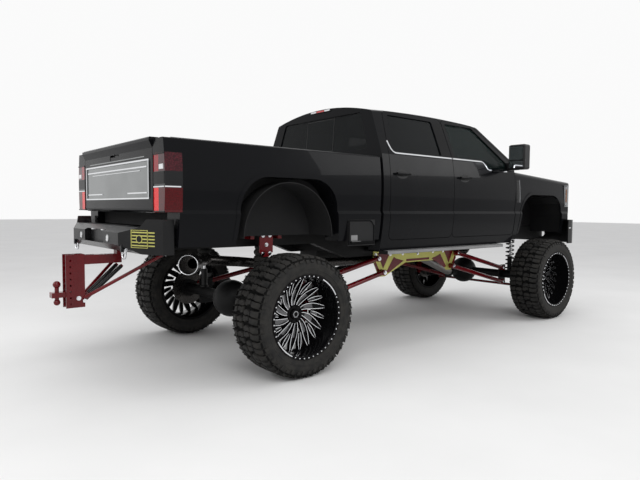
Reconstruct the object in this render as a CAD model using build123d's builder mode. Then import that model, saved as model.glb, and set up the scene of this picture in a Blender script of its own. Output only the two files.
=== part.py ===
from build123d import *
import math
import os

# A lifted crew-cab pickup truck at full size, in millimetres. +X points forward, +Y to the
# left and +Z up. The origin lies on the ground under the middle of the overall length.
os.makedirs("parts", exist_ok=True)

# Wheels and axles
WHEELBASE = 4060
TYRE_R = 508
TYRE_W = 394
TRACK_HALF = 1025
RIM_R = 330
RIM_FLANGE_R = 347
RIM_W = 372
HUB_FACE_Y = 948
HUB_R = 92
HUB_DEPTH = 60
SPINDLE_R = 42
SPINDLE_L = 70
RUN_GAP = 0.3
BEAD_GAP = 0.3
FLANGE_T = 8
BEAD_HALF = RIM_W / 2 - FLANGE_T - BEAD_GAP
BARREL_T = 24
BULGE_H = 80
TREAD_FLAT = 110
TREAD_HALF = 178
CROWN_DROP = 8
SHOULDER_IN = 10
SHOULDER_DROP = 46
CARCASS_T = 20
SPOKE_Y = 1002
SPOKE_T = 44
SPOKE_ROOT_W = 30
SPOKE_TIP_W = 54
SPOKE_BOW = 26
SPOKE_LEAN = 34
POCKET_WALL = 7
SPOKES = 11
LIP_DEPTH = 1.5 * BARREL_T
AXLE_TUBE_R = 52
KINGPIN_Y = 795
STEER_DEG = 30

# Overall lengths, as stations ahead of the rear axle
HITCH_TIP = -1637
FRONT_OVERHANG = 895
NOSE_X = WHEELBASE + FRONT_OVERHANG
BUMPER_PROUD = 65
REAR_AXLE_X = -(HITCH_TIP + NOSE_X + BUMPER_PROUD) / 2

# Body section
ROCKER_Z = 990
ROCKER_Y = 948
SILL_Z = 1092
LOWER_MID = (984, 1180)
CREASE_Z = 1345
CREASE_RISE = 28
CREASE_IN = 15
SHOULDER_Z = 1600
SHOULDER_IN_Y = 4
SIDE_Y = 1003
BELT_Z = 1925
BELT_Y = 965
ROOF_Z = 2490
ROOF_SIDE_Y = 731
ROOF_CROWN_R = 3100
ROOF_ALONG_R = 13500
ROOF_MID = 1960
ROOF_CORNER_R = 38

# Cab, as stations
CAB_REAR = 1085
ROOF_REAR = 1125
SCREEN_BASE = 3680
SCREEN_SWEEP = 175
SCREEN_DEG = 33
SCREEN_WALL = 34
SCREEN_SIDE = 85
SCREEN_FOOT = 45
SCREEN_HEAD = 85
SCREEN_CORNER_R = 40
REAR_GLASS_Z = 1985
REAR_GLASS_SIDE = 195
REAR_GLASS_TOP = 95
REAR_GLASS_HEAD = 130
COWL_Z = 1885
COWL_T = 22
CAB_FRONT = 3400
FLOOR_T = 12
SILL_INNER_Y = 800
DOOR_DEPTH = 110
FRAME_DEPTH = 58
ROOF_WALL = 58
REAR_WALL = 48
FIREWALL_X = 3328

# Doors, hood and tailgate
PANEL_GAP = 6
LENS_GAP = 0.3
SEAT_GAP = 0.3
SEAL_OUT = 4
SEAL_W = 8
SKIN_T = 12
JAMB_INSET = 45
JAMB_GAP = 30
CAB_FLOOR_Z = SILL_Z + JAMB_INSET - JAMB_GAP
DOOR_TOP_Z = 2378
DOOR_REAR = 1185
REAR_DOOR_LEAN = 80
DOOR_SPLIT = 2183
DOOR_FRONT = 3394
DOOR_HANDLES = {"rear": 1350, "front": 2370}
DOOR_HANDLE_Z = 1740
DOOR_HANDLE_L = 190
DOOR_HANDLE_R = 11
DOOR_HANDLE_FOOT_R = 8
DOOR_HANDLE_Y = 1014
WINDOW_Z = 1958
WINDOW_HEAD = 40
WINDOW_BACK = 10
REAR_WINDOW_FRONT = 2010
FRAME_W = 62
SAIL_W = 165
BELT_DIP = 92
BELT_DIP_X = 2850
DOOR_CORNER_R = 60
GLASS_T = 5
GLASS_GAP = 0.3
GLASS_LAP = 10
HOOD_Z = 1925
HOOD_CROWN_R = 6800
HOOD_HALF = 800
HOOD_T = 38
HOOD_DROP = 0.06
HOOD_REAR = 3705
HOOD_FRONT_INSET = 70
FENDER_T = 22
FENDER_CORNER_R = 60
FENDER_TOP_Y = 978
FENDER_FLARE_DROP = 460
FENDER_LOW_Z = 1085
FENDER_TAB_Y = 900
FENDER_TAB_H = 80
FENDER_TAB_L = 60
NOSE_CORNER_BACK = 165
NOSE_CORNER_X = NOSE_X - NOSE_CORNER_BACK
NOSE_SWEEP = 75
NOSE_FLAT_Y = 760
NOSE_TIP_Y = 250
NOSE_RADII = (130, 500, 1200)
LAMP_WRAP = 315
LAMP_REAR = NOSE_X - LAMP_WRAP
LAMP_Y = 630
LAMP_LOW_Z = 1440
LAMP_HIGH_Z = 1735
GRILLE_HALF = 630
GRILLE_LOW_Z = 1275
GRILLE_HIGH_Z = 1768
GRILLE_DEPTH = 48
GRILLE_CORNER_R = 60
GRILLE_RIM = 34
GRILLE_BARS = 4
LAMP_DEPTH = 60
BUMPER_SLOT_W = 1100
BUMPER_SLOT_H = 90
BUMPER_SLOT_Z = 110
BUMPER_TOP_L = 235
BUMPER_TOP_REAR = NOSE_X - BUMPER_TOP_L
TAILGATE_T = 58
BED_CORNER_X = -1012
TAILGATE_BOTTOM_Z = 1352
TAILGATE_TOP_Z = 1905

# Bed, as stations
BED_FRONT = 1050
BED_TAIL = -1122
BED_LOW_Z = 1100
RAIL_Z = 1890
BED_WALL = 175
BED_FLOOR_Z = 1385
BED_FLOOR_T = 30
WHEELHOUSE_Y = 640
ARCH_FOOT_HALF = 545
ARCH_TOP_HALF = 470
ARCH_R = 270
ARCH_FOOT_R = 120
ARCH_LIP_W = 36
ARCH_LIP_PROUD = 3
ARCH_LIP_DEPTH = 24
REAR_ARCH_Z = 1643
FRONT_ARCH_Z = 1585
HOUSE_T = 6
BED_SILL_W = 90
TAIL_LAMP_FRONT = -985
TAIL_LAMP_LOW_Z = 1358
TAIL_LAMP_HIGH_Z = 1784
TAIL_LAMP_Y = 796
RAIL_R = 12
BED_SILLS = (-900, -620, 620, 900)
WHEELHOUSE_CENTRE_Z = 1150
WHEELHOUSE_R = 460
HOUSE_LAP = 30
TAILGATE_R = 10
TAILGATE_PIN_R = 10
TAILGATE_PIN_L = 36
HANDLE_Z = 1800
HANDLE_W = 210
HANDLE_H = 52
HANDLE_DEPTH = 20
PANEL_R = 16
PANEL_RIM = 16
REAR_BUMPER_WING_L = 90
BUMPER_DIP_TOP = 820
BUMPER_DIP_FOOT = 760
PANEL_HALF = 735
PANEL_LOW_Z = 1452
PANEL_HIGH_Z = 1752
PANEL_T = 14
SPOILER_REACH = 26
REAR_BUMPER_REAR = -1300
REAR_BUMPER_HALF = 560
REAR_BUMPER_WING_X = -1035
REAR_BUMPER_WING_Y = 955
REAR_BUMPER_LOW_Z = 1048
REAR_BUMPER_HIGH_Z = 1245
REAR_BUMPER_WING_Z = 1305
REAR_BUMPER_T = 12
REAR_BUMPER_SLOPE_L = 85
REAR_BUMPER_SLOPE_H = 45
REAR_BUMPER_FOOT_L = 95
REAR_BUMPER_FOOT_H = 60
PLATE_POCKET_W = 470
PLATE_POCKET_H = 105
PLATE_POCKET_DEPTH = 45
VENT_ROWS = 5
VENT_PITCH = 24
VENT_H = 11
VENT_DEPTH = 8
VENT_Z = 1160
VENT_COLUMNS = (
    # distance along the wing from its inner corner, and length
    (205, 130),
    (325, 50),
)
FRONT_BUMPER_LOW_Z = 943
FRONT_BUMPER_HIGH_Z = 1262
FRONT_BUMPER_T = 20
FRONT_BUMPER_L = 330
FRONT_BUMPER_END = NOSE_X - FRONT_BUMPER_L

# Chassis
RAIL_Y = 430
RAIL_W = 78
RAIL_H = 190
RAIL_BOTTOM_Z = 890
FRAME_REAR = -1140
REAR_RAIL_Z = 1050
REAR_KICK_TOP = 620
REAR_KICK_FOOT = 1050
FRONT_KICK_FOOT = 3390
FRONT_KICK_TOP = 3690
FRONT_RAIL_Z = 985
FRAME_SHORT = 55
FRAME_FRONT = NOSE_X - FRAME_SHORT
BODY_MOUNTS = (1250, 2250, 3250)
BODY_MOUNT_R = 36
SUPPORT_BACK = 315
SUPPORT_X = NOSE_X - SUPPORT_BACK
SUPPORT_L = 50
SUPPORT_LOW_Z = 1740
HOOD_PAD_Y = 600
HOOD_PAD_W = 50
FRONT_MEMBER_BACK = 120
CROSS_MEMBERS = (
    # station, underside height, width, height
    (-1080, 1070, 90, 130),
    (-480, 1075, 80, 110),
    (520, 1075, 80, 110),
    (1110, 930, 80, 120),
    (2290, 930, 110, 120),
    (3600, 890, 90, 100),
    (FRAME_FRONT - FRONT_MEMBER_BACK, 1000, 110, 130),
)
DIFF_R = 180
PINION_R = 62
PINION_END = 330
FRONT_DIFF_Y = 210
FLANGE_DEPTH = 34
KNUCKLE_R = 46
KNUCKLE_H = 90
FORK_T = 26
FORK_HALF = 48
ARM_L = 200
ARM_T = 22
ARM_ROOT_Y = 862
TIE_PIN_R = 9
TIE_R = 22
TIE_SLIM = 0.8
BRACKET_T = 8
LINK_R = 26
LINK_EYE_R = 32
LINK_SPREAD = 130
REAR_LINK_Y = 600
FRONT_LINK_Y = 450
GUSSET_T = 10
LINK_EYE_HALF = 30
GUSSET_EYE_Y = RAIL_Y + RAIL_W + GUSSET_T + LINK_EYE_HALF
REAR_EYE_Y = REAR_LINK_Y + BRACKET_T + LINK_EYE_HALF
FRONT_EYE_Y = FRONT_LINK_Y + BRACKET_T + LINK_EYE_HALF
LINKS = (
    # each link's frame end and axle end, as (station, across, height)
    ((1560, GUSSET_EYE_Y, 705), (90, REAR_EYE_Y, 415)),
    ((1470, GUSSET_EYE_Y, 860), (90, REAR_EYE_Y, 600)),
    ((2770, GUSSET_EYE_Y, 705), (WHEELBASE - 100, FRONT_EYE_Y, 415)),
    ((2860, GUSSET_EYE_Y, 860), (WHEELBASE - 100, FRONT_EYE_Y, 600)),
)
GUSSET_OUTLINE = [
    (1440, 948),
    (1440, 830),
    (1530, 656),
    (1620, 656),
    (1950, 790),
    (2540, 790),
    (2700, 656),
    (2790, 656),
    (2890, 830),
    (2890, 948),
]
POWER_BLOCKS = (
    # rear, front, right, left, underside, top
    (3880, 3980, -RAIL_Y, RAIL_Y, 1060, 1140),
    (3440, 4260, -300, 300, 1015, 1640),
    (2760, 3440, -170, 170, 880, 1075),
    (2380, 2760, -150, 270, 770, 1060),
)
SHAFT_R = 46
SHAFT_JOINT_L = 70
REAR_SHAFT_Z = 850
FRONT_SHAFT_Z = 830
TANK_BOX = (1180, 2200, 130, RAIL_Y, 800, 1060)
TANK_R = 50
SPRING_LOW_Z = TYRE_R + AXLE_TUBE_R + SEAT_GAP
SPRINGS = (
    # station, across, underside, top, radius
    (-10, 540, SPRING_LOW_Z, REAR_RAIL_Z - SEAT_GAP, 48),
    (WHEELBASE, 540, SPRING_LOW_Z, FRONT_RAIL_Z - SEAT_GAP, 60),
)
TOWER_X = -10
TOWER_Z = 1120
TOWER_R = 165
TOWER_W = 38
TOWER_OUT_Y = 622
TOWER_PLATE_W = 140
TOWER_PLATE_H = 220
TOWER_PLATE_Z = 1070
TOWER_PLATE_CUT = 42
EXHAUST_R = 45
EXHAUST_T = 3
EXHAUST_BEND_R = 120
EXHAUST_ROUTE = (
    (3500, -250, POWER_BLOCKS[1][4] - SEAT_GAP),
    (3500, -250, 830),
    (1150, -330, 830),
    (350, -330, 840),
    (-120, -330, 900),
    (-500, -400, 940),
    (-760, -700, 950),
)
TIP_R = 76
TIP_L = 150
BOARD_REAR = 1150
BOARD_FRONT = 3150
BOARD_IN_Y = 880
BOARD_OUT_Y = 1000
BOARD_Z = 950
BOARD_T = 34
BOARD_BRACKETS = (1350, 2250, 3050)
STEP_REAR = 620
STEP_FRONT = 965
STEP_IN_Y = 850
STEP_LOW_Z = 1053
STEP_HIGH_Z = 1292
RECEIVER_HALF = 38
RECEIVER_Z = 925
RECEIVER_FRONT = -1085
HANGER_L = 40
CHANNEL_REAR = -1535
CHANNEL_FRONT = -1390
CHANNEL_HALF = 50
CHANNEL_T = 10
CHANNEL_LOW_Z = 580
CHANNEL_HIGH_Z = 1010
BALL_PLATE_HALF = 38
BALL_PLATE_Z = 670
BALL_PLATE_T = 42
BALL_X = -1592
BALL_NECK_R = 16
UPPER_BALL_R = 29.4
UPPER_BALL_Z = 772
LOWER_BALL_R = 25.4
LOWER_BALL_Z = 630
HITCH_STRUTS = (
    ((-1395, 40, 633), (-1090, 60, 905)),
    ((-1395, 44, 655), (-862, 450, 1028)),
)
STRUT_R = 14
HOLE_X = -1500
HOLE_Z = 610
HOLE_PITCH = 50
HOLE_COUNT = 8
HOLE_R = 8

# Cabin
SEAT_Y = 400
FRONT_SEAT_BLOCKS = (
    # rear, front, half width, underside, top
    (2400, 2850, 200, CAB_FLOOR_Z, 1300),
    (2350, 2900, 260, 1300, 1470),
    (2250, 2400, 250, 1470, 2080),
    (2270, 2370, 130, 2080, 2260),
)
REAR_SEAT_BLOCKS = (
    (1230, 1780, 700, CAB_FLOOR_Z, 1300),
    (1330, 1830, 760, 1300, 1470),
    (1200, 1330, 760, 1300, 2060),
)
DASH_OUTLINE = [
    (FIREWALL_X, 1500),
    (3060, 1560),
    (2980, 1700),
    (3040, 1850),
    (FIREWALL_X, 1870),
]
DASH_HALF = 800
STEER_X = 2860
STEER_Z = 1730
STEER_TILT_DEG = 25
STEER_R = 190
STEER_RIM_R = 15
STEER_HUB_R = 60
STEER_COLUMN_R = 25
STEER_COLUMN_L = 60
STEER_HOUSING_R = 42
STEER_HOUSING_L = 260
MIRROR_REAR = 3090
MIRROR_FRONT = 3225
MIRROR_IN_Y = 1075
MIRROR_OUT_Y = 1282
MIRROR_LOW_Z = 1862
MIRROR_HIGH_Z = 2150
MIRROR_R = 24
MIRROR_ROOT_REAR = 3242
MIRROR_ROOT_FRONT = 3338
MIRROR_ROOT_Y = 988
MIRROR_ROOT_LOW_Z = 1862
MIRROR_ROOT_HIGH_Z = 1955
MIRROR_ARM_HEIGHTS = (1886, 1930)
MIRROR_ARM_R = 16


def side(y=0.0):
    """A plane seen from the right: local x is the station, local y the height."""
    return Plane(origin=(REAR_AXLE_X, y, 0), x_dir=(1, 0, 0), z_dir=(0, -1, 0))


def top(z=0.0):
    """A plane seen from above: local x is the station, local y is across."""
    return Plane(origin=(REAR_AXLE_X, 0, z), x_dir=(1, 0, 0), z_dir=(0, 0, 1))


def cross(station=0.0):
    """A plane across the truck: local x is across, local y the height."""
    return Plane(origin=(REAR_AXLE_X + station, 0, 0), x_dir=(0, 1, 0), z_dir=(1, 0, 0))


def save(builder, name):
    """Labels a finished piece and writes it."""
    builder.part.label = name
    export_step(builder.part, f"parts/{name}.step")


def crown_z(top_z, radius, across):
    """The height at a distance across on an arc that peaks at top_z."""
    return top_z - radius + math.sqrt(radius**2 - across**2)


def crown_face(top_z, radius):
    """All that lies under a wide arc that peaks at top_z."""
    edge = 1.1 * SIDE_Y
    edge_z = crown_z(top_z, radius, edge)
    with BuildSketch() as face:
        with BuildLine():
            ThreePointArc((-edge, edge_z), (0, top_z), (edge, edge_z))
            Polyline((edge, edge_z), (edge, ROCKER_Z / 2), (-edge, ROCKER_Z / 2), (-edge, edge_z))
        make_face()
    return face.sketch


def side_points(inset, hand):
    """The body side's section from the rocker up to the belt; hand is 1 for the left side."""
    points = (
        (ROCKER_Y, ROCKER_Z),
        LOWER_MID,
        (SIDE_Y, CREASE_Z),
        (SIDE_Y - CREASE_IN, CREASE_Z + CREASE_RISE),
        (SIDE_Y - SHOULDER_IN_Y, SHOULDER_Z),
        (BELT_Y, BELT_Z),
    )
    return [(hand * (y - inset), z) for y, z in points]


def body_face(inset, top_z):
    """The slab-sided lower body seen from the front, from the rocker up to top_z."""
    foot, low, crease, ledge, high, belt = side_points(inset, 1)
    far_foot, far_low, far_crease, far_ledge, far_high, far_belt = side_points(inset, -1)
    with BuildSketch() as face:
        with BuildLine():
            Line(far_foot, foot)
            ThreePointArc(foot, low, crease)
            Line(crease, ledge)
            ThreePointArc(ledge, high, belt)
            Line(belt, far_belt)
            ThreePointArc(far_belt, far_high, far_ledge)
            Line(far_ledge, far_crease)
            ThreePointArc(far_crease, far_low, far_foot)
        make_face()
        if top_z < BELT_Z:
            with Locations((0, (top_z + BELT_Z) / 2)):
                Rectangle(3 * SIDE_Y, BELT_Z - top_z, mode=Mode.SUBTRACT)
    return face.sketch


def cab_face(low, high):
    """The cab seen from the front up to roof height, its walls set in by low and high."""
    roof = ROOF_SIDE_Y - high
    with BuildSketch() as face:
        add(body_face(low, BELT_Z))
        with BuildLine():
            belt = BELT_Y - low
            Polyline((belt, BELT_Z), (roof, ROOF_Z), (-roof, ROOF_Z), (-belt, BELT_Z), close=True)
        make_face()
    return face.sketch


def screen_face(set_back):
    """All ahead of the windscreen's curved foot, seen from above."""
    centre, edge = SCREEN_BASE - set_back, SCREEN_BASE - SCREEN_SWEEP - set_back
    ahead = SCREEN_BASE + SIDE_Y
    with BuildSketch() as face:
        with BuildLine():
            ThreePointArc((edge, -SIDE_Y), (centre, 0), (edge, SIDE_Y))
            Polyline((edge, SIDE_Y), (ahead, SIDE_Y), (ahead, -SIDE_Y), (edge, -SIDE_Y))
        make_face()
    return face.sketch


def outline_face(points, grow, radius):
    """A closed outline with rounded corners, grown outwards by grow."""
    with BuildSketch() as face:
        with BuildLine():
            FilletPolyline(*points, radius=radius, close=True)
        make_face()
        if grow:
            offset(amount=grow, kind=Kind.INTERSECTION)
    return face.sketch


def cab_solid(low, high, roof, end, floor_z, cowl_z, front):
    """The cab's outer form with its walls set in, as one closed solid."""
    slope = math.radians(SCREEN_DEG)
    rise = (-math.cos(slope), 0, math.sin(slope))
    centre = (REAR_AXLE_X + ROOF_MID, 0, ROOF_Z - ROOF_ALONG_R)
    silhouette = [
        (CAB_REAR + end, floor_z),
        (CAB_REAR + end, BELT_Z),
        (ROOF_REAR + end, ROOF_Z),
        (SCREEN_BASE, ROOF_Z),
        (SCREEN_BASE, cowl_z),
        (front, cowl_z),
        (front, floor_z),
    ]
    with BuildPart() as solid:
        with BuildSketch(cross(CAB_REAR)):
            add(cab_face(low, high))
        extrude(amount=SCREEN_BASE - CAB_REAR)
        with BuildSketch(cross(ROOF_MID)):
            add(crown_face(ROOF_Z - roof, ROOF_CROWN_R))
        revolve(axis=Axis(centre, (0, 1, 0)), mode=Mode.INTERSECT)
        with BuildSketch(side()):
            with BuildLine():
                Polyline(*silhouette, close=True)
            make_face()
        extrude(amount=SIDE_Y, both=True, mode=Mode.INTERSECT)
        with BuildSketch(top(COWL_Z)):
            add(screen_face(end))
        extrude(amount=2 * (ROOF_Z - COWL_Z), dir=rise, mode=Mode.SUBTRACT)
    return solid.part


# Door and window outlines as (station, height), listed from the lower rear corner round
PILLAR_RUN = (DOOR_TOP_Z - BELT_Z) / math.tan(math.radians(SCREEN_DEG + 2))
DOOR_OUTLINES = {
    "rear": [
        (DOOR_REAR, SILL_Z),
        (DOOR_SPLIT - PANEL_GAP / 2, SILL_Z),
        (DOOR_SPLIT - PANEL_GAP / 2, DOOR_TOP_Z),
        (DOOR_REAR + REAR_DOOR_LEAN, DOOR_TOP_Z),
        (DOOR_REAR, BELT_Z),
    ],
    "front": [
        (DOOR_SPLIT + PANEL_GAP / 2, SILL_Z),
        (DOOR_FRONT, SILL_Z),
        (DOOR_FRONT, BELT_Z),
        (DOOR_FRONT - PILLAR_RUN, DOOR_TOP_Z),
        (DOOR_SPLIT + PANEL_GAP / 2, DOOR_TOP_Z),
    ],
}
WINDOW_OUTLINES = {
    "rear": [
        (DOOR_REAR + 65, WINDOW_Z + 20),
        (DOOR_REAR + 88, WINDOW_Z),
        (REAR_WINDOW_FRONT, WINDOW_Z),
        (REAR_WINDOW_FRONT, DOOR_TOP_Z - WINDOW_HEAD),
        (DOOR_REAR + REAR_DOOR_LEAN + 62, DOOR_TOP_Z - WINDOW_HEAD),
    ],
    "front": [
        (DOOR_SPLIT + FRAME_W, WINDOW_Z),
        (BELT_DIP_X - BELT_DIP, WINDOW_Z),
        (BELT_DIP_X, WINDOW_Z - BELT_DIP),
        (DOOR_FRONT - SAIL_W, WINDOW_Z - BELT_DIP),
        (DOOR_FRONT - SAIL_W, WINDOW_Z),
        (DOOR_FRONT - PILLAR_RUN - WINDOW_BACK, DOOR_TOP_Z - WINDOW_HEAD),
        (DOOR_SPLIT + FRAME_W, DOOR_TOP_Z - WINDOW_HEAD),
    ],
}
WINDOW_R = 22
SCREEN_OUTLINE = [
    (-BELT_Y + SCREEN_SIDE, COWL_Z + SCREEN_FOOT),
    (BELT_Y - SCREEN_SIDE, COWL_Z + SCREEN_FOOT),
    (ROOF_SIDE_Y - SCREEN_SIDE, ROOF_Z - SCREEN_HEAD),
    (-ROOF_SIDE_Y + SCREEN_SIDE, ROOF_Z - SCREEN_HEAD),
]
REAR_GLASS_OUTLINE = [
    (-BELT_Y + REAR_GLASS_SIDE, REAR_GLASS_Z),
    (BELT_Y - REAR_GLASS_SIDE, REAR_GLASS_Z),
    (ROOF_SIDE_Y - REAR_GLASS_TOP, ROOF_Z - REAR_GLASS_HEAD),
    (-ROOF_SIDE_Y + REAR_GLASS_TOP, ROOF_Z - REAR_GLASS_HEAD),
]


def arch_face(axle, top_z):
    """A squarish wheel arch with large round shoulders, open below."""
    with BuildSketch() as face:
        with BuildLine():
            FilletPolyline(
                (axle - ARCH_FOOT_HALF, 0),
                (axle - ARCH_FOOT_HALF, ROCKER_Z),
                (axle - ARCH_TOP_HALF, top_z),
                (axle + ARCH_TOP_HALF, top_z),
                (axle + ARCH_FOOT_HALF, ROCKER_Z),
                (axle + ARCH_FOOT_HALF, 0),
                radius=[0, ARCH_FOOT_R, ARCH_R, ARCH_R, ARCH_FOOT_R, 0],
                close=True,
            )
        make_face()
    return face.sketch


def arch_lip(axle, top_z, low_z):
    """The rolled edge round a wheel arch on both sides, a little proud of the body."""
    reach = ARCH_FOOT_HALF + ARCH_LIP_W
    with BuildPart() as lip:
        with BuildSketch(cross(axle - reach)):
            add(body_face(-ARCH_LIP_PROUD, BELT_Z))
            Rectangle(2 * (SIDE_Y - ARCH_LIP_DEPTH), 3 * BELT_Z, mode=Mode.SUBTRACT)
            Rectangle(3 * SIDE_Y, 2 * low_z, mode=Mode.SUBTRACT)
        extrude(amount=2 * reach)
        with BuildSketch(side()):
            add(arch_face(axle, top_z))
            offset(amount=ARCH_LIP_W)
        extrude(amount=2 * SIDE_Y, both=True, mode=Mode.INTERSECT)
        with BuildSketch(side()):
            add(arch_face(axle, top_z))
        extrude(amount=2 * SIDE_Y, both=True, mode=Mode.SUBTRACT)
    return lip.part


def nose_plan(grow):
    """The rounded front end seen from above, grown outwards."""
    shoulder = NOSE_X - NOSE_SWEEP
    with BuildSketch() as face:
        with BuildLine():
            FilletPolyline(
                (FIREWALL_X, -SIDE_Y),
                (NOSE_CORNER_X, -SIDE_Y),
                (shoulder, -NOSE_FLAT_Y),
                (NOSE_X, -NOSE_TIP_Y),
                (NOSE_X, NOSE_TIP_Y),
                (shoulder, NOSE_FLAT_Y),
                (NOSE_CORNER_X, SIDE_Y),
                (FIREWALL_X, SIDE_Y),
                radius=[0, *NOSE_RADII, *reversed(NOSE_RADII), 0],
                close=True,
            )
        make_face()
        if grow:
            offset(amount=grow, kind=Kind.INTERSECTION)
    return face.sketch


def nose_band(outer, inner, rear):
    """The strip between two nose outlines that lies ahead of station rear."""
    with BuildSketch() as face:
        add(nose_plan(outer))
        add(nose_plan(inner), mode=Mode.SUBTRACT)
        with Locations((rear - NOSE_X / 2, 0)):
            Rectangle(NOSE_X, 4 * SIDE_Y, mode=Mode.SUBTRACT)
    return face.sketch


def nose_top_face(inset, top_inset):
    """The hood's crown and the fenders' round shoulders, seen along the hood from its top line."""
    edge, flare = FENDER_TOP_Y - inset, SIDE_Y - inset
    crown_edge = crown_z(-top_inset, HOOD_CROWN_R, edge)
    with BuildSketch() as face:
        with BuildLine():
            ThreePointArc((-edge, crown_edge), (0, -top_inset), (edge, crown_edge))
            Polyline(
                (edge, crown_edge),
                (flare, -FENDER_FLARE_DROP),
                (flare, -HOOD_Z),
                (-flare, -HOOD_Z),
                (-flare, -FENDER_FLARE_DROP),
                (-edge, crown_edge),
            )
        make_face()
        fillet(face.vertices().group_by(Axis.Y)[-1], radius=FENDER_CORNER_R - inset)
    return face.sketch


def nose_solid(inset, back):
    """Fenders and hood as one closed form, its skin set in by inset, from station back."""
    slope = math.atan(HOOD_DROP)
    along_hood = Plane(
        origin=(REAR_AXLE_X + CAB_FRONT, 0, HOOD_Z),
        x_dir=(0, 1, 0),
        z_dir=(math.cos(slope), 0, -math.sin(slope)),
    )
    with BuildPart() as solid:
        with BuildSketch(cross(back)):
            add(body_face(inset, BELT_Z))
        extrude(amount=NOSE_X - back)
        with BuildSketch(along_hood):
            add(nose_top_face(inset, HOOD_T / FENDER_T * inset))
        extrude(amount=NOSE_X - CAB_REAR, both=True, mode=Mode.INTERSECT)
        with BuildSketch(top()):
            add(nose_plan(-inset))
        extrude(amount=ROOF_Z, mode=Mode.INTERSECT)
    return solid.part


def prism(plane, face, amount):
    """A face raised from its plane by amount."""
    with BuildPart() as solid:
        with BuildSketch(plane):
            add(face)
        extrude(amount=amount)
    return solid.part


def box_between(x_low, x_high, y_low, y_high, z_low, z_high):
    """An upright box between two stations, given as a closed solid."""
    with BuildPart() as solid:
        with BuildSketch(top(z_low)):
            with Locations(((x_low + x_high) / 2, (y_low + y_high) / 2)):
                Rectangle(x_high - x_low, y_high - y_low)
        extrude(amount=z_high - z_low)
    return solid.part


def rod(start, end, radius):
    """A round bar between two points, each given as (station, across, height)."""
    ends = [Vector(REAR_AXLE_X + x, y, z) for x, y, z in (start, end)]
    run = ends[1] - ends[0]
    with BuildPart() as bar:
        with BuildSketch(Plane(origin=ends[0], z_dir=run)):
            Circle(radius)
        extrude(amount=run.length)
    return bar.part


cab_outer = cab_solid(0, 0, 0, 0, ROCKER_Z, COWL_Z, CAB_FRONT)
rebate_in = SKIN_T + PANEL_GAP
cab_rebate = cab_solid(rebate_in, rebate_in, rebate_in, 0, ROCKER_Z, COWL_Z, CAB_FRONT)
cab_skin = cab_solid(SKIN_T, SKIN_T, SKIN_T, SKIN_T, ROCKER_Z, COWL_Z, CAB_FRONT)
cab_space = cab_solid(
    DOOR_DEPTH, FRAME_DEPTH, ROOF_WALL, REAR_WALL, CAB_FLOOR_Z, COWL_Z + COWL_T, FIREWALL_X
)
cab_room = cab_solid(
    DOOR_DEPTH, FRAME_DEPTH, ROOF_WALL, REAR_WALL, ROCKER_Z, COWL_Z, CAB_FRONT
)
glass_outer = cab_solid(
    SKIN_T + GLASS_GAP, SKIN_T + GLASS_GAP, SKIN_T + GLASS_GAP, SKIN_T, ROCKER_Z, COWL_Z, CAB_FRONT
)
glass_inner_in = SKIN_T + GLASS_GAP + GLASS_T
glass_inner = cab_solid(
    glass_inner_in, glass_inner_in, glass_inner_in, SKIN_T + GLASS_T, ROCKER_Z, COWL_Z, CAB_FRONT
)

# Cab shell: floor, rear wall, roof and pillars, with its door and window openings
with BuildPart() as cab_shell:
    add(cab_outer)
    roof_edges = cab_shell.edges().filter_by(
        lambda e: e.length > DOOR_FRONT - DOOR_SPLIT
        and e.center().Z > DOOR_TOP_Z
        and abs(e.center().Y) > ROOF_SIDE_Y / 2
    )
    fillet(roof_edges, radius=ROOF_CORNER_R)
    add(cab_space, mode=Mode.SUBTRACT)

with BuildPart() as doorways:
    for points in DOOR_OUTLINES.values():
        with BuildSketch(side()):
            add(outline_face(points, JAMB_GAP - JAMB_INSET, DOOR_CORNER_R))
        extrude(amount=2 * SIDE_Y, both=True)
    firewall_half = ROCKER_Y - DOOR_DEPTH
    add(
        box_between(
            FIREWALL_X - SEAL_OUT, CAB_FRONT, -firewall_half, firewall_half, ROCKER_Z, COWL_Z + COWL_T
        ),
        mode=Mode.SUBTRACT,
    )

# The doors' skins lie over the jambs, in a rebate as deep as a skin and its gap
with BuildPart() as rebate:
    for points in DOOR_OUTLINES.values():
        with BuildSketch(side()):
            add(outline_face(points, PANEL_GAP, DOOR_CORNER_R))
        extrude(amount=2 * SIDE_Y, both=True)
    add(cab_rebate, mode=Mode.SUBTRACT)

def door_seal(points):
    """A seal that stands in the rebate of a pair of doors, for the closed doors' skins to lie on."""
    with BuildPart() as seal:
        add(glass_outer)
        with BuildSketch(side()):
            add(outline_face(points, -SEAL_OUT, DOOR_CORNER_R))
        extrude(amount=2 * SIDE_Y, both=True, mode=Mode.INTERSECT)
        with BuildSketch(side()):
            add(outline_face(points, -SEAL_OUT - SEAL_W, DOOR_CORNER_R))
        extrude(amount=2 * SIDE_Y, both=True, mode=Mode.SUBTRACT)
        add(cab_rebate, mode=Mode.SUBTRACT)
    return seal.part


with BuildPart() as windscreen_hole:
    with BuildSketch(cross(CAB_FRONT - SCREEN_SWEEP * 4)):
        add(outline_face(SCREEN_OUTLINE, 0, SCREEN_CORNER_R))
    extrude(amount=SIDE_Y * 2)

with BuildPart() as rear_hole:
    with BuildSketch(cross(CAB_REAR - REAR_WALL)):
        add(outline_face(REAR_GLASS_OUTLINE, 0, SCREEN_CORNER_R))
    extrude(amount=4 * REAR_WALL)

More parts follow.
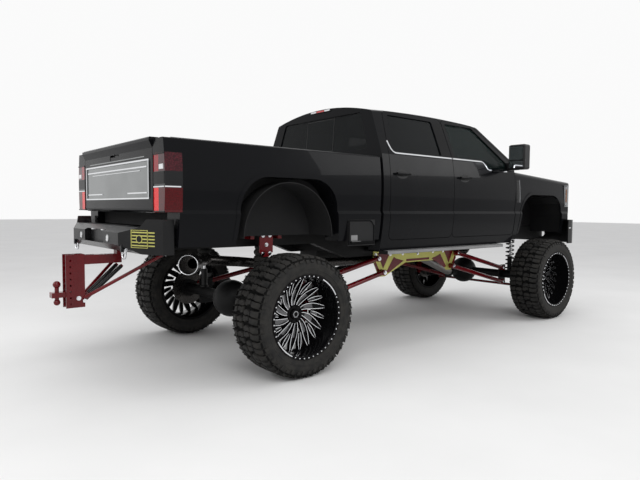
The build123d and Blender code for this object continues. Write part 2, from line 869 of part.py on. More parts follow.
with BuildPart() as cab_shell_cut:
    add(cab_shell.part)
    add(doorways.part, mode=Mode.SUBTRACT)
    add(rebate.part, mode=Mode.SUBTRACT)
    add(
        box_between(
            CAB_REAR, CAB_FRONT, -SILL_INNER_Y, SILL_INNER_Y, ROCKER_Z, CAB_FLOOR_Z - FLOOR_T
        ),
        mode=Mode.SUBTRACT,
    )
    add(windscreen_hole.part, mode=Mode.SUBTRACT)
    add(rear_hole.part, mode=Mode.SUBTRACT)
    for points in DOOR_OUTLINES.values():
        add(door_seal(points))
save(cab_shell_cut, "cab_shell")

# Fixed glass: windscreen and rear window, each a pane behind its opening
with BuildPart() as cab_glass:
    for plane, outline, depth in (
        (cross(CAB_FRONT - SCREEN_SWEEP * 4), SCREEN_OUTLINE, 2 * SIDE_Y),
        (cross(CAB_REAR - REAR_WALL), REAR_GLASS_OUTLINE, 2 * REAR_WALL + SKIN_T),
    ):
        with BuildSketch(plane):
            add(outline_face(outline, -GLASS_GAP, SCREEN_CORNER_R))
        extrude(amount=depth)
    add(glass_outer, mode=Mode.INTERSECT)
    add(glass_inner, mode=Mode.SUBTRACT)
save(cab_glass, "cab_glass")


def door_pieces(points, window, handle_x, hand):
    """A door and its glass; hand is 1 for the right side and -1 for the left."""
    with BuildPart() as skin:
        with BuildSketch(side()):
            add(outline_face(points, 0, DOOR_CORNER_R))
            add(outline_face(window, 0, WINDOW_R), mode=Mode.SUBTRACT)
        extrude(amount=hand * 2 * SIDE_Y)
        add(cab_outer, mode=Mode.INTERSECT)
        add(cab_skin, mode=Mode.SUBTRACT)
    with BuildPart() as core:
        with BuildSketch(side()):
            add(outline_face(points, -JAMB_INSET, DOOR_CORNER_R))
            add(outline_face(window, GLASS_LAP + GLASS_GAP, WINDOW_R), mode=Mode.SUBTRACT)
        extrude(amount=hand * 2 * SIDE_Y)
        add(cab_skin, mode=Mode.INTERSECT)
        add(cab_room, mode=Mode.SUBTRACT)
    with BuildPart() as door:
        add(skin.part)
        add(core.part)
        across = -hand * DOOR_HANDLE_Y
        rear, front = handle_x - DOOR_HANDLE_L / 2, handle_x + DOOR_HANDLE_L / 2
        add(rod((rear, across, DOOR_HANDLE_Z), (front, across, DOOR_HANDLE_Z), DOOR_HANDLE_R))
        for x in (rear + 2 * DOOR_HANDLE_R, front - 2 * DOOR_HANDLE_R):
            root = -hand * (BELT_Y + DOOR_HANDLE_R)
            add(rod((x, across, DOOR_HANDLE_Z), (x, root, DOOR_HANDLE_Z), DOOR_HANDLE_FOOT_R))
    with BuildPart() as glass:
        with BuildSketch(side()):
            add(outline_face(window, GLASS_LAP, WINDOW_R))
        extrude(amount=hand * 2 * SIDE_Y)
        add(glass_outer, mode=Mode.INTERSECT)
        add(glass_inner, mode=Mode.SUBTRACT)
    return door, glass


for place, points in DOOR_OUTLINES.items():
    for hand_name, hand in (("right", 1), ("left", -1)):
        door, glass = door_pieces(points, WINDOW_OUTLINES[place], DOOR_HANDLES[place], hand)
        save(door, f"door_{place}_{hand_name}")
        save(glass, f"glass_{place}_{hand_name}")

# Front body: one skin of fenders and nose, parted from the hood, lamps, grille and bumper
nose_back = CAB_FRONT + PANEL_GAP
nose_outer = nose_solid(0, nose_back)
nose_inner = nose_solid(FENDER_T, nose_back - FENDER_T)
lamp_zone = box_between(
    LAMP_REAR, NOSE_X, LAMP_Y, SIDE_Y + FENDER_T, LAMP_LOW_Z, LAMP_HIGH_Z
)
grille_zone = box_between(
    NOSE_CORNER_X, NOSE_X, -GRILLE_HALF, GRILLE_HALF, GRILLE_LOW_Z, HOOD_Z
)

with BuildPart() as hood:
    add(nose_outer)
    add(nose_inner, mode=Mode.SUBTRACT)
    ahead = nose_band(BUMPER_PROUD, -HOOD_FRONT_INSET, HOOD_REAR)
    add(prism(top(GRILLE_LOW_Z), ahead, HOOD_Z), mode=Mode.SUBTRACT)
    add(
        box_between(HOOD_REAR, NOSE_X, -HOOD_HALF, HOOD_HALF, LAMP_LOW_Z, HOOD_Z),
        mode=Mode.INTERSECT,
    )
save(hood, "hood")

with BuildPart() as front_fenders:
    add(nose_outer)
    add(nose_inner, mode=Mode.SUBTRACT)
    add(
        box_between(
            nose_back - FENDER_T,
            NOSE_X,
            -HOOD_HALF - PANEL_GAP,
            HOOD_HALF + PANEL_GAP,
            ROCKER_Z - FENDER_T,
            HOOD_Z,
        ),
        mode=Mode.SUBTRACT,
    )
    with BuildSketch(side()):
        add(arch_face(WHEELBASE, FRONT_ARCH_Z))
    extrude(amount=2 * SIDE_Y, both=True, mode=Mode.SUBTRACT)
    add(arch_lip(WHEELBASE, FRONT_ARCH_Z, FENDER_LOW_Z))
    with BuildSketch(side()):
        with Locations(((CAB_FRONT + NOSE_X) / 2, ROCKER_Z)):
            Rectangle(NOSE_X, 2 * (FENDER_LOW_Z - ROCKER_Z))
    extrude(amount=2 * SIDE_Y, both=True, mode=Mode.SUBTRACT)
    for zone in (lamp_zone, grille_zone):
        add(zone, mode=Mode.SUBTRACT)
        add(zone.mirror(Plane.XZ), mode=Mode.SUBTRACT)
    with BuildSketch(top(FENDER_LOW_Z - FENDER_T)):
        with Locations((FRONT_BUMPER_END + NOSE_X / 2, 0)):
            Rectangle(NOSE_X, 4 * SIDE_Y)
    extrude(amount=FRONT_BUMPER_HIGH_Z + LENS_GAP - FENDER_LOW_Z + FENDER_T, mode=Mode.SUBTRACT)
    tab = box_between(
        CAB_FRONT,
        CAB_FRONT + FENDER_TAB_L,
        FENDER_TAB_Y,
        SIDE_Y - FENDER_T / 2,
        SHOULDER_Z - FENDER_TAB_H / 2,
        SHOULDER_Z + FENDER_TAB_H / 2,
    )
    add(tab)
    add(tab.mirror(Plane.XZ))
save(front_fenders, "front_fenders")

# Grille: a frame that fills the opening, crossed by bars, on upright slats
with BuildPart() as grille:
    with BuildSketch(top(GRILLE_LOW_Z)):
        add(nose_band(-LENS_GAP, -GRILLE_DEPTH, NOSE_CORNER_X))
    extrude(amount=GRILLE_HIGH_Z - GRILLE_LOW_Z)
    with BuildSketch(cross(NOSE_CORNER_X)):
        with Locations((0, (GRILLE_LOW_Z + GRILLE_HIGH_Z) / 2)):
            RectangleRounded(
                2 * (GRILLE_HALF - LENS_GAP), GRILLE_HIGH_Z - GRILLE_LOW_Z, GRILLE_CORNER_R
            )
    extrude(amount=2 * BUMPER_PROUD + NOSE_X - NOSE_CORNER_X, mode=Mode.INTERSECT)
    bay = (GRILLE_HIGH_Z - GRILLE_LOW_Z - GRILLE_RIM) / GRILLE_BARS
    with BuildSketch(cross(NOSE_CORNER_X)):
        with Locations((0, (GRILLE_LOW_Z + GRILLE_HIGH_Z) / 2)):
            with GridLocations(0, bay, 1, GRILLE_BARS):
                Rectangle(2 * (GRILLE_HALF - GRILLE_RIM), bay - GRILLE_RIM)
    extrude(amount=2 * BUMPER_PROUD + NOSE_X - NOSE_CORNER_X, mode=Mode.SUBTRACT)
save(grille, "grille")

# Head lamps: the nose's own corner, one block each side with a gap all round
with BuildPart() as head_lamps:
    with BuildSketch(top(LAMP_LOW_Z + LENS_GAP)):
        add(nose_band(-LENS_GAP, -LAMP_DEPTH, LAMP_REAR + LENS_GAP))
        Rectangle(2 * NOSE_X, 2 * (LAMP_Y + LENS_GAP), mode=Mode.SUBTRACT)
    extrude(amount=LAMP_HIGH_Z - LAMP_LOW_Z - 2 * LENS_GAP)
save(head_lamps, "head_lamps")

# Front bumper: a band round the nose with a step and a lower opening
with BuildPart() as front_bumper:
    with BuildSketch(top(FRONT_BUMPER_LOW_Z)):
        add(nose_band(BUMPER_PROUD, BUMPER_PROUD - FRONT_BUMPER_T, FRONT_BUMPER_END))
    extrude(amount=FRONT_BUMPER_HIGH_Z - FRONT_BUMPER_LOW_Z)
    with BuildSketch(cross(NOSE_CORNER_X)):
        with Locations((0, FRONT_BUMPER_LOW_Z + BUMPER_SLOT_Z)):
            SlotOverall(BUMPER_SLOT_W, BUMPER_SLOT_H)
    extrude(amount=NOSE_X, mode=Mode.SUBTRACT)
    with BuildSketch(top(FRONT_BUMPER_HIGH_Z - FRONT_BUMPER_T)):
        add(nose_band(BUMPER_PROUD - FRONT_BUMPER_T, -BUMPER_PROUD, BUMPER_TOP_REAR))
    extrude(amount=FRONT_BUMPER_T)
save(front_bumper, "front_bumper")

# Bed sides: outer panels as thick as the whole wall, with arches and lamp pockets
bed_inner = BELT_Y - BED_WALL
bed_rear = BED_TAIL + TAILGATE_T + PANEL_GAP
tailgate_half = bed_inner - PANEL_GAP
pin_x = BED_TAIL + TAILGATE_T / 2
pin_z = TAILGATE_BOTTOM_Z + TAILGATE_T / 2
with BuildPart() as bed_sides:
    with BuildSketch(cross(BED_TAIL)):
        add(body_face(0, RAIL_Z))
        Rectangle(2 * bed_inner, 3 * RAIL_Z, mode=Mode.SUBTRACT)
        Rectangle(3 * SIDE_Y, 2 * BED_LOW_Z, mode=Mode.SUBTRACT)
    extrude(amount=BED_FRONT - BED_TAIL)
    rail_edges = bed_sides.edges().filter_by(Axis.X).group_by(Axis.Z)[-1]
    fillet(rail_edges, radius=RAIL_R)
    with BuildSketch(side()):
        add(arch_face(0, REAR_ARCH_Z))
    extrude(amount=2 * SIDE_Y, both=True, mode=Mode.SUBTRACT)
    add(arch_lip(0, REAR_ARCH_Z, BED_LOW_Z))
    for hand in (1, -1):
        low_y, high_y = sorted((hand * STEP_IN_Y, hand * 2 * SIDE_Y))
        add(
            box_between(STEP_REAR, STEP_FRONT, low_y, high_y, ROCKER_Z, STEP_HIGH_Z),
            mode=Mode.SUBTRACT,
        )
    tail_zone = box_between(
        BED_TAIL,
        TAIL_LAMP_FRONT,
        TAIL_LAMP_Y,
        SIDE_Y + RAIL_R,
        TAIL_LAMP_LOW_Z,
        TAIL_LAMP_HIGH_Z,
    )
    add(tail_zone, mode=Mode.SUBTRACT)
    add(tail_zone.mirror(Plane.XZ), mode=Mode.SUBTRACT)
    for hand in (1, -1):
        end = hand * (bed_inner - TAILGATE_PIN_L)
        add(rod((pin_x, hand * bed_inner, pin_z), (pin_x, end, pin_z), TAILGATE_PIN_R))
    add(
        box_between(BED_TAIL, BED_CORNER_X, -SIDE_Y, SIDE_Y, BED_LOW_Z, TAIL_LAMP_LOW_Z),
        mode=Mode.SUBTRACT,
    )
save(bed_sides, "bed_sides")

# Tail lamps: the corners that the pockets leave
with BuildPart() as tail_lamps:
    with BuildSketch(cross(BED_TAIL)):
        add(body_face(0, RAIL_Z))
        Rectangle(2 * (TAIL_LAMP_Y + LENS_GAP), 3 * RAIL_Z, mode=Mode.SUBTRACT)
        Rectangle(3 * SIDE_Y, 2 * (TAIL_LAMP_LOW_Z + LENS_GAP), mode=Mode.SUBTRACT)
        with Locations((0, TAIL_LAMP_HIGH_Z - LENS_GAP + RAIL_Z / 2)):
            Rectangle(3 * SIDE_Y, RAIL_Z, mode=Mode.SUBTRACT)
    extrude(amount=TAIL_LAMP_FRONT - BED_TAIL - LENS_GAP)
save(tail_lamps, "tail_lamps")

# Bed liner: floor on sills, front wall and the two wheel houses
with BuildPart() as bed_liner:
    add(
        box_between(
            bed_rear, BED_FRONT, -bed_inner, bed_inner, BED_FLOOR_Z - BED_FLOOR_T, BED_FLOOR_Z
        )
    )
    add(
        box_between(
            BED_FRONT - BED_FLOOR_T, BED_FRONT, -bed_inner, bed_inner, BED_FLOOR_Z, RAIL_Z - RAIL_R
        )
    )
    for station in BED_SILLS:
        add(
            box_between(
                station - BED_SILL_W / 2,
                station + BED_SILL_W / 2,
                -bed_inner,
                bed_inner,
                REAR_RAIL_Z + RAIL_H,
                BED_FLOOR_Z - BED_FLOOR_T,
            )
        )
    for low_y in (WHEELHOUSE_Y, -SIDE_Y + HOUSE_LAP):
        high_y = low_y + SIDE_Y - HOUSE_LAP - WHEELHOUSE_Y
        with BuildSketch(side(high_y)):
            with BuildLine():
                CenterArc((0, WHEELHOUSE_CENTRE_Z), WHEELHOUSE_R, 0, 180)
                Line((-WHEELHOUSE_R, WHEELHOUSE_CENTRE_Z), (WHEELHOUSE_R, WHEELHOUSE_CENTRE_Z))
            make_face()
        extrude(amount=high_y - low_y)
    for low_y in (WHEELHOUSE_Y + HOUSE_T, -SIDE_Y):
        high_y = low_y + SIDE_Y - HOUSE_T - WHEELHOUSE_Y
        with BuildSketch(side(high_y)):
            with BuildLine():
                CenterArc((0, WHEELHOUSE_CENTRE_Z), WHEELHOUSE_R - HOUSE_T, 0, 180)
                Line(
                    (HOUSE_T - WHEELHOUSE_R, WHEELHOUSE_CENTRE_Z),
                    (WHEELHOUSE_R - HOUSE_T, WHEELHOUSE_CENTRE_Z),
                )
            make_face()
        extrude(amount=high_y - low_y, mode=Mode.SUBTRACT)
    add(bed_sides.part, mode=Mode.SUBTRACT)
save(bed_liner, "bed_liner")

# Tailgate: a panel with a spoiler lip and a recess for the bright panel
with BuildPart() as tailgate:
    with BuildSketch(side()):
        with BuildLine():
            Polyline(
                (BED_TAIL, TAILGATE_BOTTOM_Z),
                (BED_TAIL + TAILGATE_T, TAILGATE_BOTTOM_Z),
                (BED_TAIL + TAILGATE_T, TAILGATE_TOP_Z),
                (BED_TAIL - SPOILER_REACH, TAILGATE_TOP_Z),
                (BED_TAIL - SPOILER_REACH, TAILGATE_TOP_Z - SPOILER_REACH),
                (BED_TAIL, TAILGATE_TOP_Z - 3 * SPOILER_REACH),
                close=True,
            )
        make_face()
    extrude(amount=tailgate_half, both=True)
    fillet(tailgate.edges().filter_by(Axis.Y).group_by(Axis.Z)[-1], radius=TAILGATE_R)
    fillet(tailgate.edges().filter_by(Axis.Y).group_by(Axis.Z)[0], radius=0.49 * TAILGATE_T)
    with BuildSketch(cross(BED_TAIL)):
        with Locations((0, (PANEL_LOW_Z + PANEL_HIGH_Z) / 2)):
            Rectangle(2 * PANEL_HALF, PANEL_HIGH_Z - PANEL_LOW_Z)
    extrude(amount=PANEL_T / 2, mode=Mode.SUBTRACT)
    with BuildSketch(cross(BED_TAIL)):
        with Locations((0, HANDLE_Z)):
            RectangleRounded(HANDLE_W, HANDLE_H, HANDLE_H / 4)
    extrude(amount=HANDLE_DEPTH, mode=Mode.SUBTRACT)
    for hand in (1, -1):
        end = hand * (bed_inner - TAILGATE_PIN_L - SEAT_GAP)
        bore_r = TAILGATE_PIN_R + SEAT_GAP
        add(rod((pin_x, hand * bed_inner, pin_z), (pin_x, end, pin_z), bore_r), mode=Mode.SUBTRACT)
save(tailgate, "tailgate")

with BuildPart() as tailgate_panel:
    with BuildSketch(cross(BED_TAIL - PANEL_T / 2)):
        with Locations((0, (PANEL_LOW_Z + PANEL_HIGH_Z) / 2)):
            RectangleRounded(
                2 * (PANEL_HALF - LENS_GAP), PANEL_HIGH_Z - PANEL_LOW_Z - 2 * LENS_GAP, PANEL_R
            )
    extrude(amount=PANEL_T)
    with BuildSketch(cross(BED_TAIL - PANEL_T / 2)):
        with Locations((0, (PANEL_LOW_Z + PANEL_HIGH_Z) / 2)):
            RectangleRounded(
                2 * (PANEL_HALF - PANEL_RIM),
                PANEL_HIGH_Z - PANEL_LOW_Z - 2 * PANEL_RIM,
                PANEL_R / 2,
            )
    extrude(amount=PANEL_T / 2, mode=Mode.SUBTRACT)
save(tailgate_panel, "tailgate_panel")

# Rear bumper: a folded steel box with raised wings, a plate recess and slotted wing faces
wing_rear = REAR_BUMPER_WING_X - REAR_BUMPER_WING_L
wing_y = REAR_BUMPER_WING_Y + REAR_BUMPER_T


def wing_plane(hand, distance):
    """A plane on a wing's slanting rear face, facing out, at a distance along the face."""
    run = Vector(wing_rear - REAR_BUMPER_REAR, hand * (wing_y - REAR_BUMPER_HALF), 0)
    way = run.normalized()
    start = Vector(REAR_AXLE_X + REAR_BUMPER_REAR, hand * REAR_BUMPER_HALF, VENT_Z)
    return Plane(origin=start + way * distance, x_dir=way, z_dir=Vector(0, 0, hand).cross(way))


with BuildPart() as rear_bumper:
    bumper_points = [
        (FRAME_REAR, -RAIL_Y - RAIL_W),
        (REAR_BUMPER_WING_X, -REAR_BUMPER_WING_Y),
        (wing_rear, -wing_y),
        (REAR_BUMPER_REAR, -REAR_BUMPER_HALF),
        (REAR_BUMPER_REAR, REAR_BUMPER_HALF),
        (wing_rear, wing_y),
        (REAR_BUMPER_WING_X, REAR_BUMPER_WING_Y),
        (FRAME_REAR, RAIL_Y + RAIL_W),
    ]
    with BuildSketch(top(REAR_BUMPER_LOW_Z)):
        with BuildLine():
            Polyline(*bumper_points, close=True)
        make_face()
    extrude(amount=REAR_BUMPER_WING_Z - REAR_BUMPER_LOW_Z)
    with BuildSketch(cross(REAR_BUMPER_REAR - PANEL_T)):
        with BuildLine():
            Polyline(
                (-BUMPER_DIP_TOP, REAR_BUMPER_WING_Z),
                (-BUMPER_DIP_FOOT, REAR_BUMPER_HIGH_Z),
                (BUMPER_DIP_FOOT, REAR_BUMPER_HIGH_Z),
                (BUMPER_DIP_TOP, REAR_BUMPER_WING_Z),
                close=True,
            )
        make_face()
    extrude(amount=-2 * REAR_BUMPER_REAR, mode=Mode.SUBTRACT)
    with BuildSketch(side()):
        with BuildLine():
            Polyline(
                (REAR_BUMPER_REAR, REAR_BUMPER_HIGH_Z - REAR_BUMPER_SLOPE_H),
                (REAR_BUMPER_REAR + REAR_BUMPER_SLOPE_L, REAR_BUMPER_HIGH_Z),
                (REAR_BUMPER_REAR, REAR_BUMPER_HIGH_Z),
                close=True,
            )
        make_face()
        with BuildLine():
            Polyline(
                (REAR_BUMPER_REAR, REAR_BUMPER_LOW_Z),
                (REAR_BUMPER_REAR + REAR_BUMPER_FOOT_L, REAR_BUMPER_LOW_Z),
                (REAR_BUMPER_REAR, REAR_BUMPER_LOW_Z + REAR_BUMPER_FOOT_H),
                close=True,
            )
        make_face()
    extrude(amount=wing_y, both=True, mode=Mode.SUBTRACT)
    with BuildSketch(cross(REAR_BUMPER_REAR)):
        with Locations((0, REAR_BUMPER_LOW_Z + REAR_BUMPER_FOOT_H + PLATE_POCKET_H / 2)):
            Rectangle(PLATE_POCKET_W, PLATE_POCKET_H)
    extrude(amount=PLATE_POCKET_DEPTH, mode=Mode.SUBTRACT)
    for hand in (1, -1):
        for distance, length in VENT_COLUMNS:
            with BuildSketch(wing_plane(hand, distance)):
                with GridLocations(0, VENT_PITCH, 1, VENT_ROWS):
                    Rectangle(length, VENT_H)
            extrude(amount=-VENT_DEPTH, mode=Mode.SUBTRACT)
save(rear_bumper, "rear_bumper")

# Frame: two channel rails that rise over both axles, joined by cross members
rail_points = [
    (FRAME_REAR, REAR_RAIL_Z),
    (REAR_KICK_TOP, REAR_RAIL_Z),
    (REAR_KICK_FOOT, RAIL_BOTTOM_Z),
    (FRONT_KICK_FOOT, RAIL_BOTTOM_Z),
    (FRONT_KICK_TOP, FRONT_RAIL_Z),
    (FRAME_FRONT, FRONT_RAIL_Z),
]

with BuildPart() as frame_rails:
    for low_y in (RAIL_Y, -RAIL_Y - RAIL_W):
        with BuildSketch(side(low_y + RAIL_W)):
            with BuildLine():
                upper = [(x, z + RAIL_H) for x, z in reversed(rail_points)]
                Polyline(*rail_points, *upper, close=True)
            make_face()
        extrude(amount=RAIL_W)
    for station, low_z, width, height in CROSS_MEMBERS:
        add(
            box_between(
                station - width / 2, station + width / 2, -RAIL_Y, RAIL_Y, low_z, low_z + height
            )
        )
    for station in BODY_MOUNTS:
        for across in (1, -1):
            with BuildSketch(top(RAIL_BOTTOM_Z + RAIL_H)):
                with Locations((station, across * (RAIL_Y + RAIL_W / 2))):
                    Circle(BODY_MOUNT_R)
            extrude(amount=CAB_FLOOR_Z - FLOOR_T - RAIL_BOTTOM_Z - RAIL_H)
save(frame_rails, "frame_rails")

# An upright support on the rails' front ends carries the fenders and the closed hood
with BuildPart() as front_support:
    support_front = SUPPORT_X + SUPPORT_L
    add(box_between(SUPPORT_X, support_front, -SIDE_Y, SIDE_Y, SUPPORT_LOW_Z, SUPPORT_LOW_Z + RAIL_R))
    for hand in (1, -1):
        low_y, high_y = sorted((hand * RAIL_Y, hand * (RAIL_Y + RAIL_W)))
        add(box_between(SUPPORT_X, support_front, low_y, high_y, FRONT_RAIL_Z + RAIL_H, SUPPORT_LOW_Z))
        low_y, high_y = sorted((hand * HOOD_PAD_Y, hand * (HOOD_PAD_Y + HOOD_PAD_W)))
        add(box_between(SUPPORT_X, support_front, low_y, high_y, SUPPORT_LOW_Z, HOOD_Z))
    add(nose_solid(FENDER_T + SEAT_GAP, nose_back), mode=Mode.INTERSECT)

# Brackets run from the rails' front ends to the back of the bumper
with BuildPart() as bumper_brackets:
    for low_y in (RAIL_Y, -RAIL_Y - RAIL_W):
        add(
            box_between(
                FRAME_FRONT, NOSE_X + BUMPER_PROUD, low_y, low_y + RAIL_W, FRONT_RAIL_Z, FRONT_RAIL_Z + RAIL_H
            )
        )
    with BuildSketch(top(ROCKER_Z / 2)):
        add(nose_plan(BUMPER_PROUD - FRONT_BUMPER_T - SEAT_GAP))
    extrude(amount=ROOF_Z, mode=Mode.INTERSECT)

with BuildPart() as front_support_set:
    add(front_support.part)
    add(bumper_brackets.part)
save(front_support_set, "front_support")


# Wheels and tyres turn about the axle ends; the left ones mirror the right
def wheel_point(axle, hand):
    """The middle of a tyre; hand is 1 for the left side."""
    return (REAR_AXLE_X + axle, hand * TRACK_HALF, TYRE_R)


def turned(axle, hand, points):
    """A ring turned about the wheel's axis from (distance inboard to outboard, radius)."""
    x, _, z = wheel_point(axle, hand)
    plane = Plane(origin=(x, 0, z), x_dir=(0, hand, 0), z_dir=(1, 0, 0))
    with BuildPart() as ring:
        with BuildSketch(plane):
            with BuildLine():
                Polyline(*points, close=True)
            make_face()
        revolve(axis=Axis((x, 0, z), (0, 1, 0)))
    return ring.part


TYRE_OUTSIDE = [
    (TREAD_FLAT, TYRE_R),
    (TREAD_HALF, TYRE_R - CROWN_DROP),
    (TYRE_W / 2 - SHOULDER_IN, TYRE_R - SHOULDER_DROP),
    (TYRE_W / 2, RIM_R + BULGE_H),
    (BEAD_HALF, RIM_FLANGE_R + FLANGE_T),
    (BEAD_HALF, RIM_R),
]
TYRE_INSIDE = [
    (BEAD_HALF - CARCASS_T, RIM_R),
    (TYRE_W / 2 - CARCASS_T, RIM_R + BULGE_H),
    (TREAD_HALF - CARCASS_T, TYRE_R - SHOULDER_DROP - CARCASS_T),
]
tyre_section = [
    *[(TRACK_HALF - a, r) for a, r in reversed(TYRE_OUTSIDE)],
    *[(TRACK_HALF + a, r) for a, r in TYRE_OUTSIDE],
    *[(TRACK_HALF + a, r) for a, r in TYRE_INSIDE],
    *[(TRACK_HALF - a, r) for a, r in reversed(TYRE_INSIDE)],
]
RIM_SECTION = [
    (TRACK_HALF - RIM_W / 2, RIM_R - BARREL_T),
    (TRACK_HALF - RIM_W / 2, RIM_FLANGE_R),
    (TRACK_HALF - RIM_W / 2 + FLANGE_T, RIM_FLANGE_R),
    (TRACK_HALF - RIM_W / 2 + FLANGE_T, RIM_R - BEAD_GAP),
    (TRACK_HALF + RIM_W / 2 - FLANGE_T, RIM_R - BEAD_GAP),
    (TRACK_HALF + RIM_W / 2 - FLANGE_T, RIM_FLANGE_R),
    (TRACK_HALF + RIM_W / 2, RIM_FLANGE_R),
    (TRACK_HALF + RIM_W / 2, RIM_R - BARREL_T),
    (SPOKE_Y + SPOKE_T, RIM_R - LIP_DEPTH),
    (SPOKE_Y - SPOKE_T, RIM_R - LIP_DEPTH),
]
HUB_SECTION = [
    (HUB_FACE_Y, SPINDLE_R + RUN_GAP),
    (HUB_FACE_Y, HUB_R),
    (SPOKE_Y + SPOKE_T / 2, HUB_R),
    (SPOKE_Y + SPOKE_T / 2, SPINDLE_R + RUN_GAP),
]


def spoke_face(wall):
    """One curved blade from the hub to the lip, narrowed by wall on every side."""
    root, tip = HUB_R - BARREL_T + 3 * wall, RIM_R - BARREL_T - 3 * wall
    middle = (root + tip) / 2
    half_root, half_tip = SPOKE_ROOT_W / 2 - wall, SPOKE_TIP_W / 2 - wall
    half_middle = (half_root + half_tip) / 2
    with BuildSketch() as face:
        with BuildLine():
            Line((root, -half_root), (root, half_root))
            ThreePointArc(
                (root, half_root), (middle, SPOKE_BOW + half_middle), (tip, half_tip - SPOKE_LEAN)
            )
            Line((tip, half_tip - SPOKE_LEAN), (tip, -half_tip - SPOKE_LEAN))
            ThreePointArc(
                (tip, -half_tip - SPOKE_LEAN), (middle, SPOKE_BOW - half_middle), (root, -half_root)
            )
        make_face()
    return face.sketch


for place, axle in (("rear", 0), ("front", WHEELBASE)):
    for hand_name, hand in (("right", -1), ("left", 1)):
        with BuildPart() as tyre:
            add(turned(axle, hand, tyre_section))
        save(tyre, f"tyre_{place}_{hand_name}")
        with BuildPart() as rim:
            add(turned(axle, hand, RIM_SECTION))
            add(turned(axle, hand, HUB_SECTION))
            x, _, z = wheel_point(axle, hand)
            face_plane = Plane(
                origin=(x, hand * (SPOKE_Y - SPOKE_T / 2), z), x_dir=(hand, 0, 0), z_dir=(0, hand, 0)
            )
            with BuildSketch(face_plane):
                with PolarLocations(0, SPOKES):
                    add(spoke_face(0))
            extrude(amount=SPOKE_T)
            with BuildSketch(face_plane.offset(SPOKE_T)):
                with PolarLocations(0, SPOKES):
                    add(spoke_face(POCKET_WALL))
            extrude(amount=-SPOKE_T / 3, mode=Mode.SUBTRACT)
        save(rim, f"rim_{place}_{hand_name}")

def axle_beam(station, half, diff_y, pinion_end):
    """Axle tubes with a round differential and a pinion nose that ends at a station."""
    with BuildPart() as beam:
        add(rod((station, -half, TYRE_R), (station, half, TYRE_R), AXLE_TUBE_R))
        with Locations((REAR_AXLE_X + station, diff_y, TYRE_R)):
            Sphere(DIFF_R)
        add(rod((station, diff_y, TYRE_R), (pinion_end, diff_y, TYRE_R), PINION_R))
    return beam.part


def spindle(station, hand):
    """A flange that backs the hub and the short shaft that the hub turns on."""
    face, tip = HUB_FACE_Y - RUN_GAP, HUB_FACE_Y + SPINDLE_L
    with BuildPart() as shaft:
        add(
            rod(
                (station, hand * (face - FLANGE_DEPTH), TYRE_R),
                (station, hand * face, TYRE_R),
                HUB_R,
            )
        )
        add(rod((station, hand * face, TYRE_R), (station, hand * tip, TYRE_R), SPINDLE_R))
    return shaft.part


# Rear axle: a round differential on tubes that end in the wheels' spindles
with BuildPart() as rear_axle:
    add(axle_beam(0, HUB_FACE_Y - FLANGE_DEPTH, 0, PINION_END))
    for hand in (1, -1):
        add(spindle(0, hand))
        add(
            box_between(
                -LINK_EYE_R,
                AXLE_TUBE_R + 2 * LINK_EYE_R,
                hand * REAR_LINK_Y - BRACKET_T,
                hand * REAR_LINK_Y + BRACKET_T,
                TYRE_R - LINK_SPREAD,
                TYRE_R + LINK_SPREAD,
            )
        )
save(rear_axle, "rear_axle")

# Front axle: a beam whose forked ends hold the steering knuckles
fork_in = KINGPIN_Y - KNUCKLE_R - FORK_T
with BuildPart() as front_axle:
    add(
        axle_beam(WHEELBASE, fork_in, FRONT_DIFF_Y, WHEELBASE - PINION_END)
    )
    for hand in (1, -1):
        low_y, high_y = sorted((hand * (fork_in - FORK_T), hand * fork_in))
        add(
            box_between(
                WHEELBASE - FORK_HALF,
                WHEELBASE + FORK_HALF,
                low_y,
                high_y,
                TYRE_R - KNUCKLE_H - FORK_T,
                TYRE_R + KNUCKLE_H + FORK_T,
            )
        )
        low_y, high_y = sorted((hand * fork_in, hand * KINGPIN_Y))
        for low_z in (TYRE_R - KNUCKLE_H - FORK_T, TYRE_R + KNUCKLE_H):
            add(
                box_between(
                    WHEELBASE - FORK_HALF, WHEELBASE + FORK_HALF, low_y, high_y, low_z, low_z + FORK_T
                )
            )
            with BuildSketch(top(low_z)):
                with Locations((WHEELBASE, hand * KINGPIN_Y)):
                    Circle(FORK_HALF)
            extrude(amount=FORK_T)
        add(
            box_between(
                WHEELBASE - AXLE_TUBE_R - 2 * LINK_EYE_R,
                WHEELBASE + LINK_EYE_R,
                hand * FRONT_LINK_Y - BRACKET_T,
                hand * FRONT_LINK_Y + BRACKET_T,
                TYRE_R - LINK_SPREAD,
                TYRE_R + LINK_SPREAD,
            )
        )
save(front_axle, "front_axle")

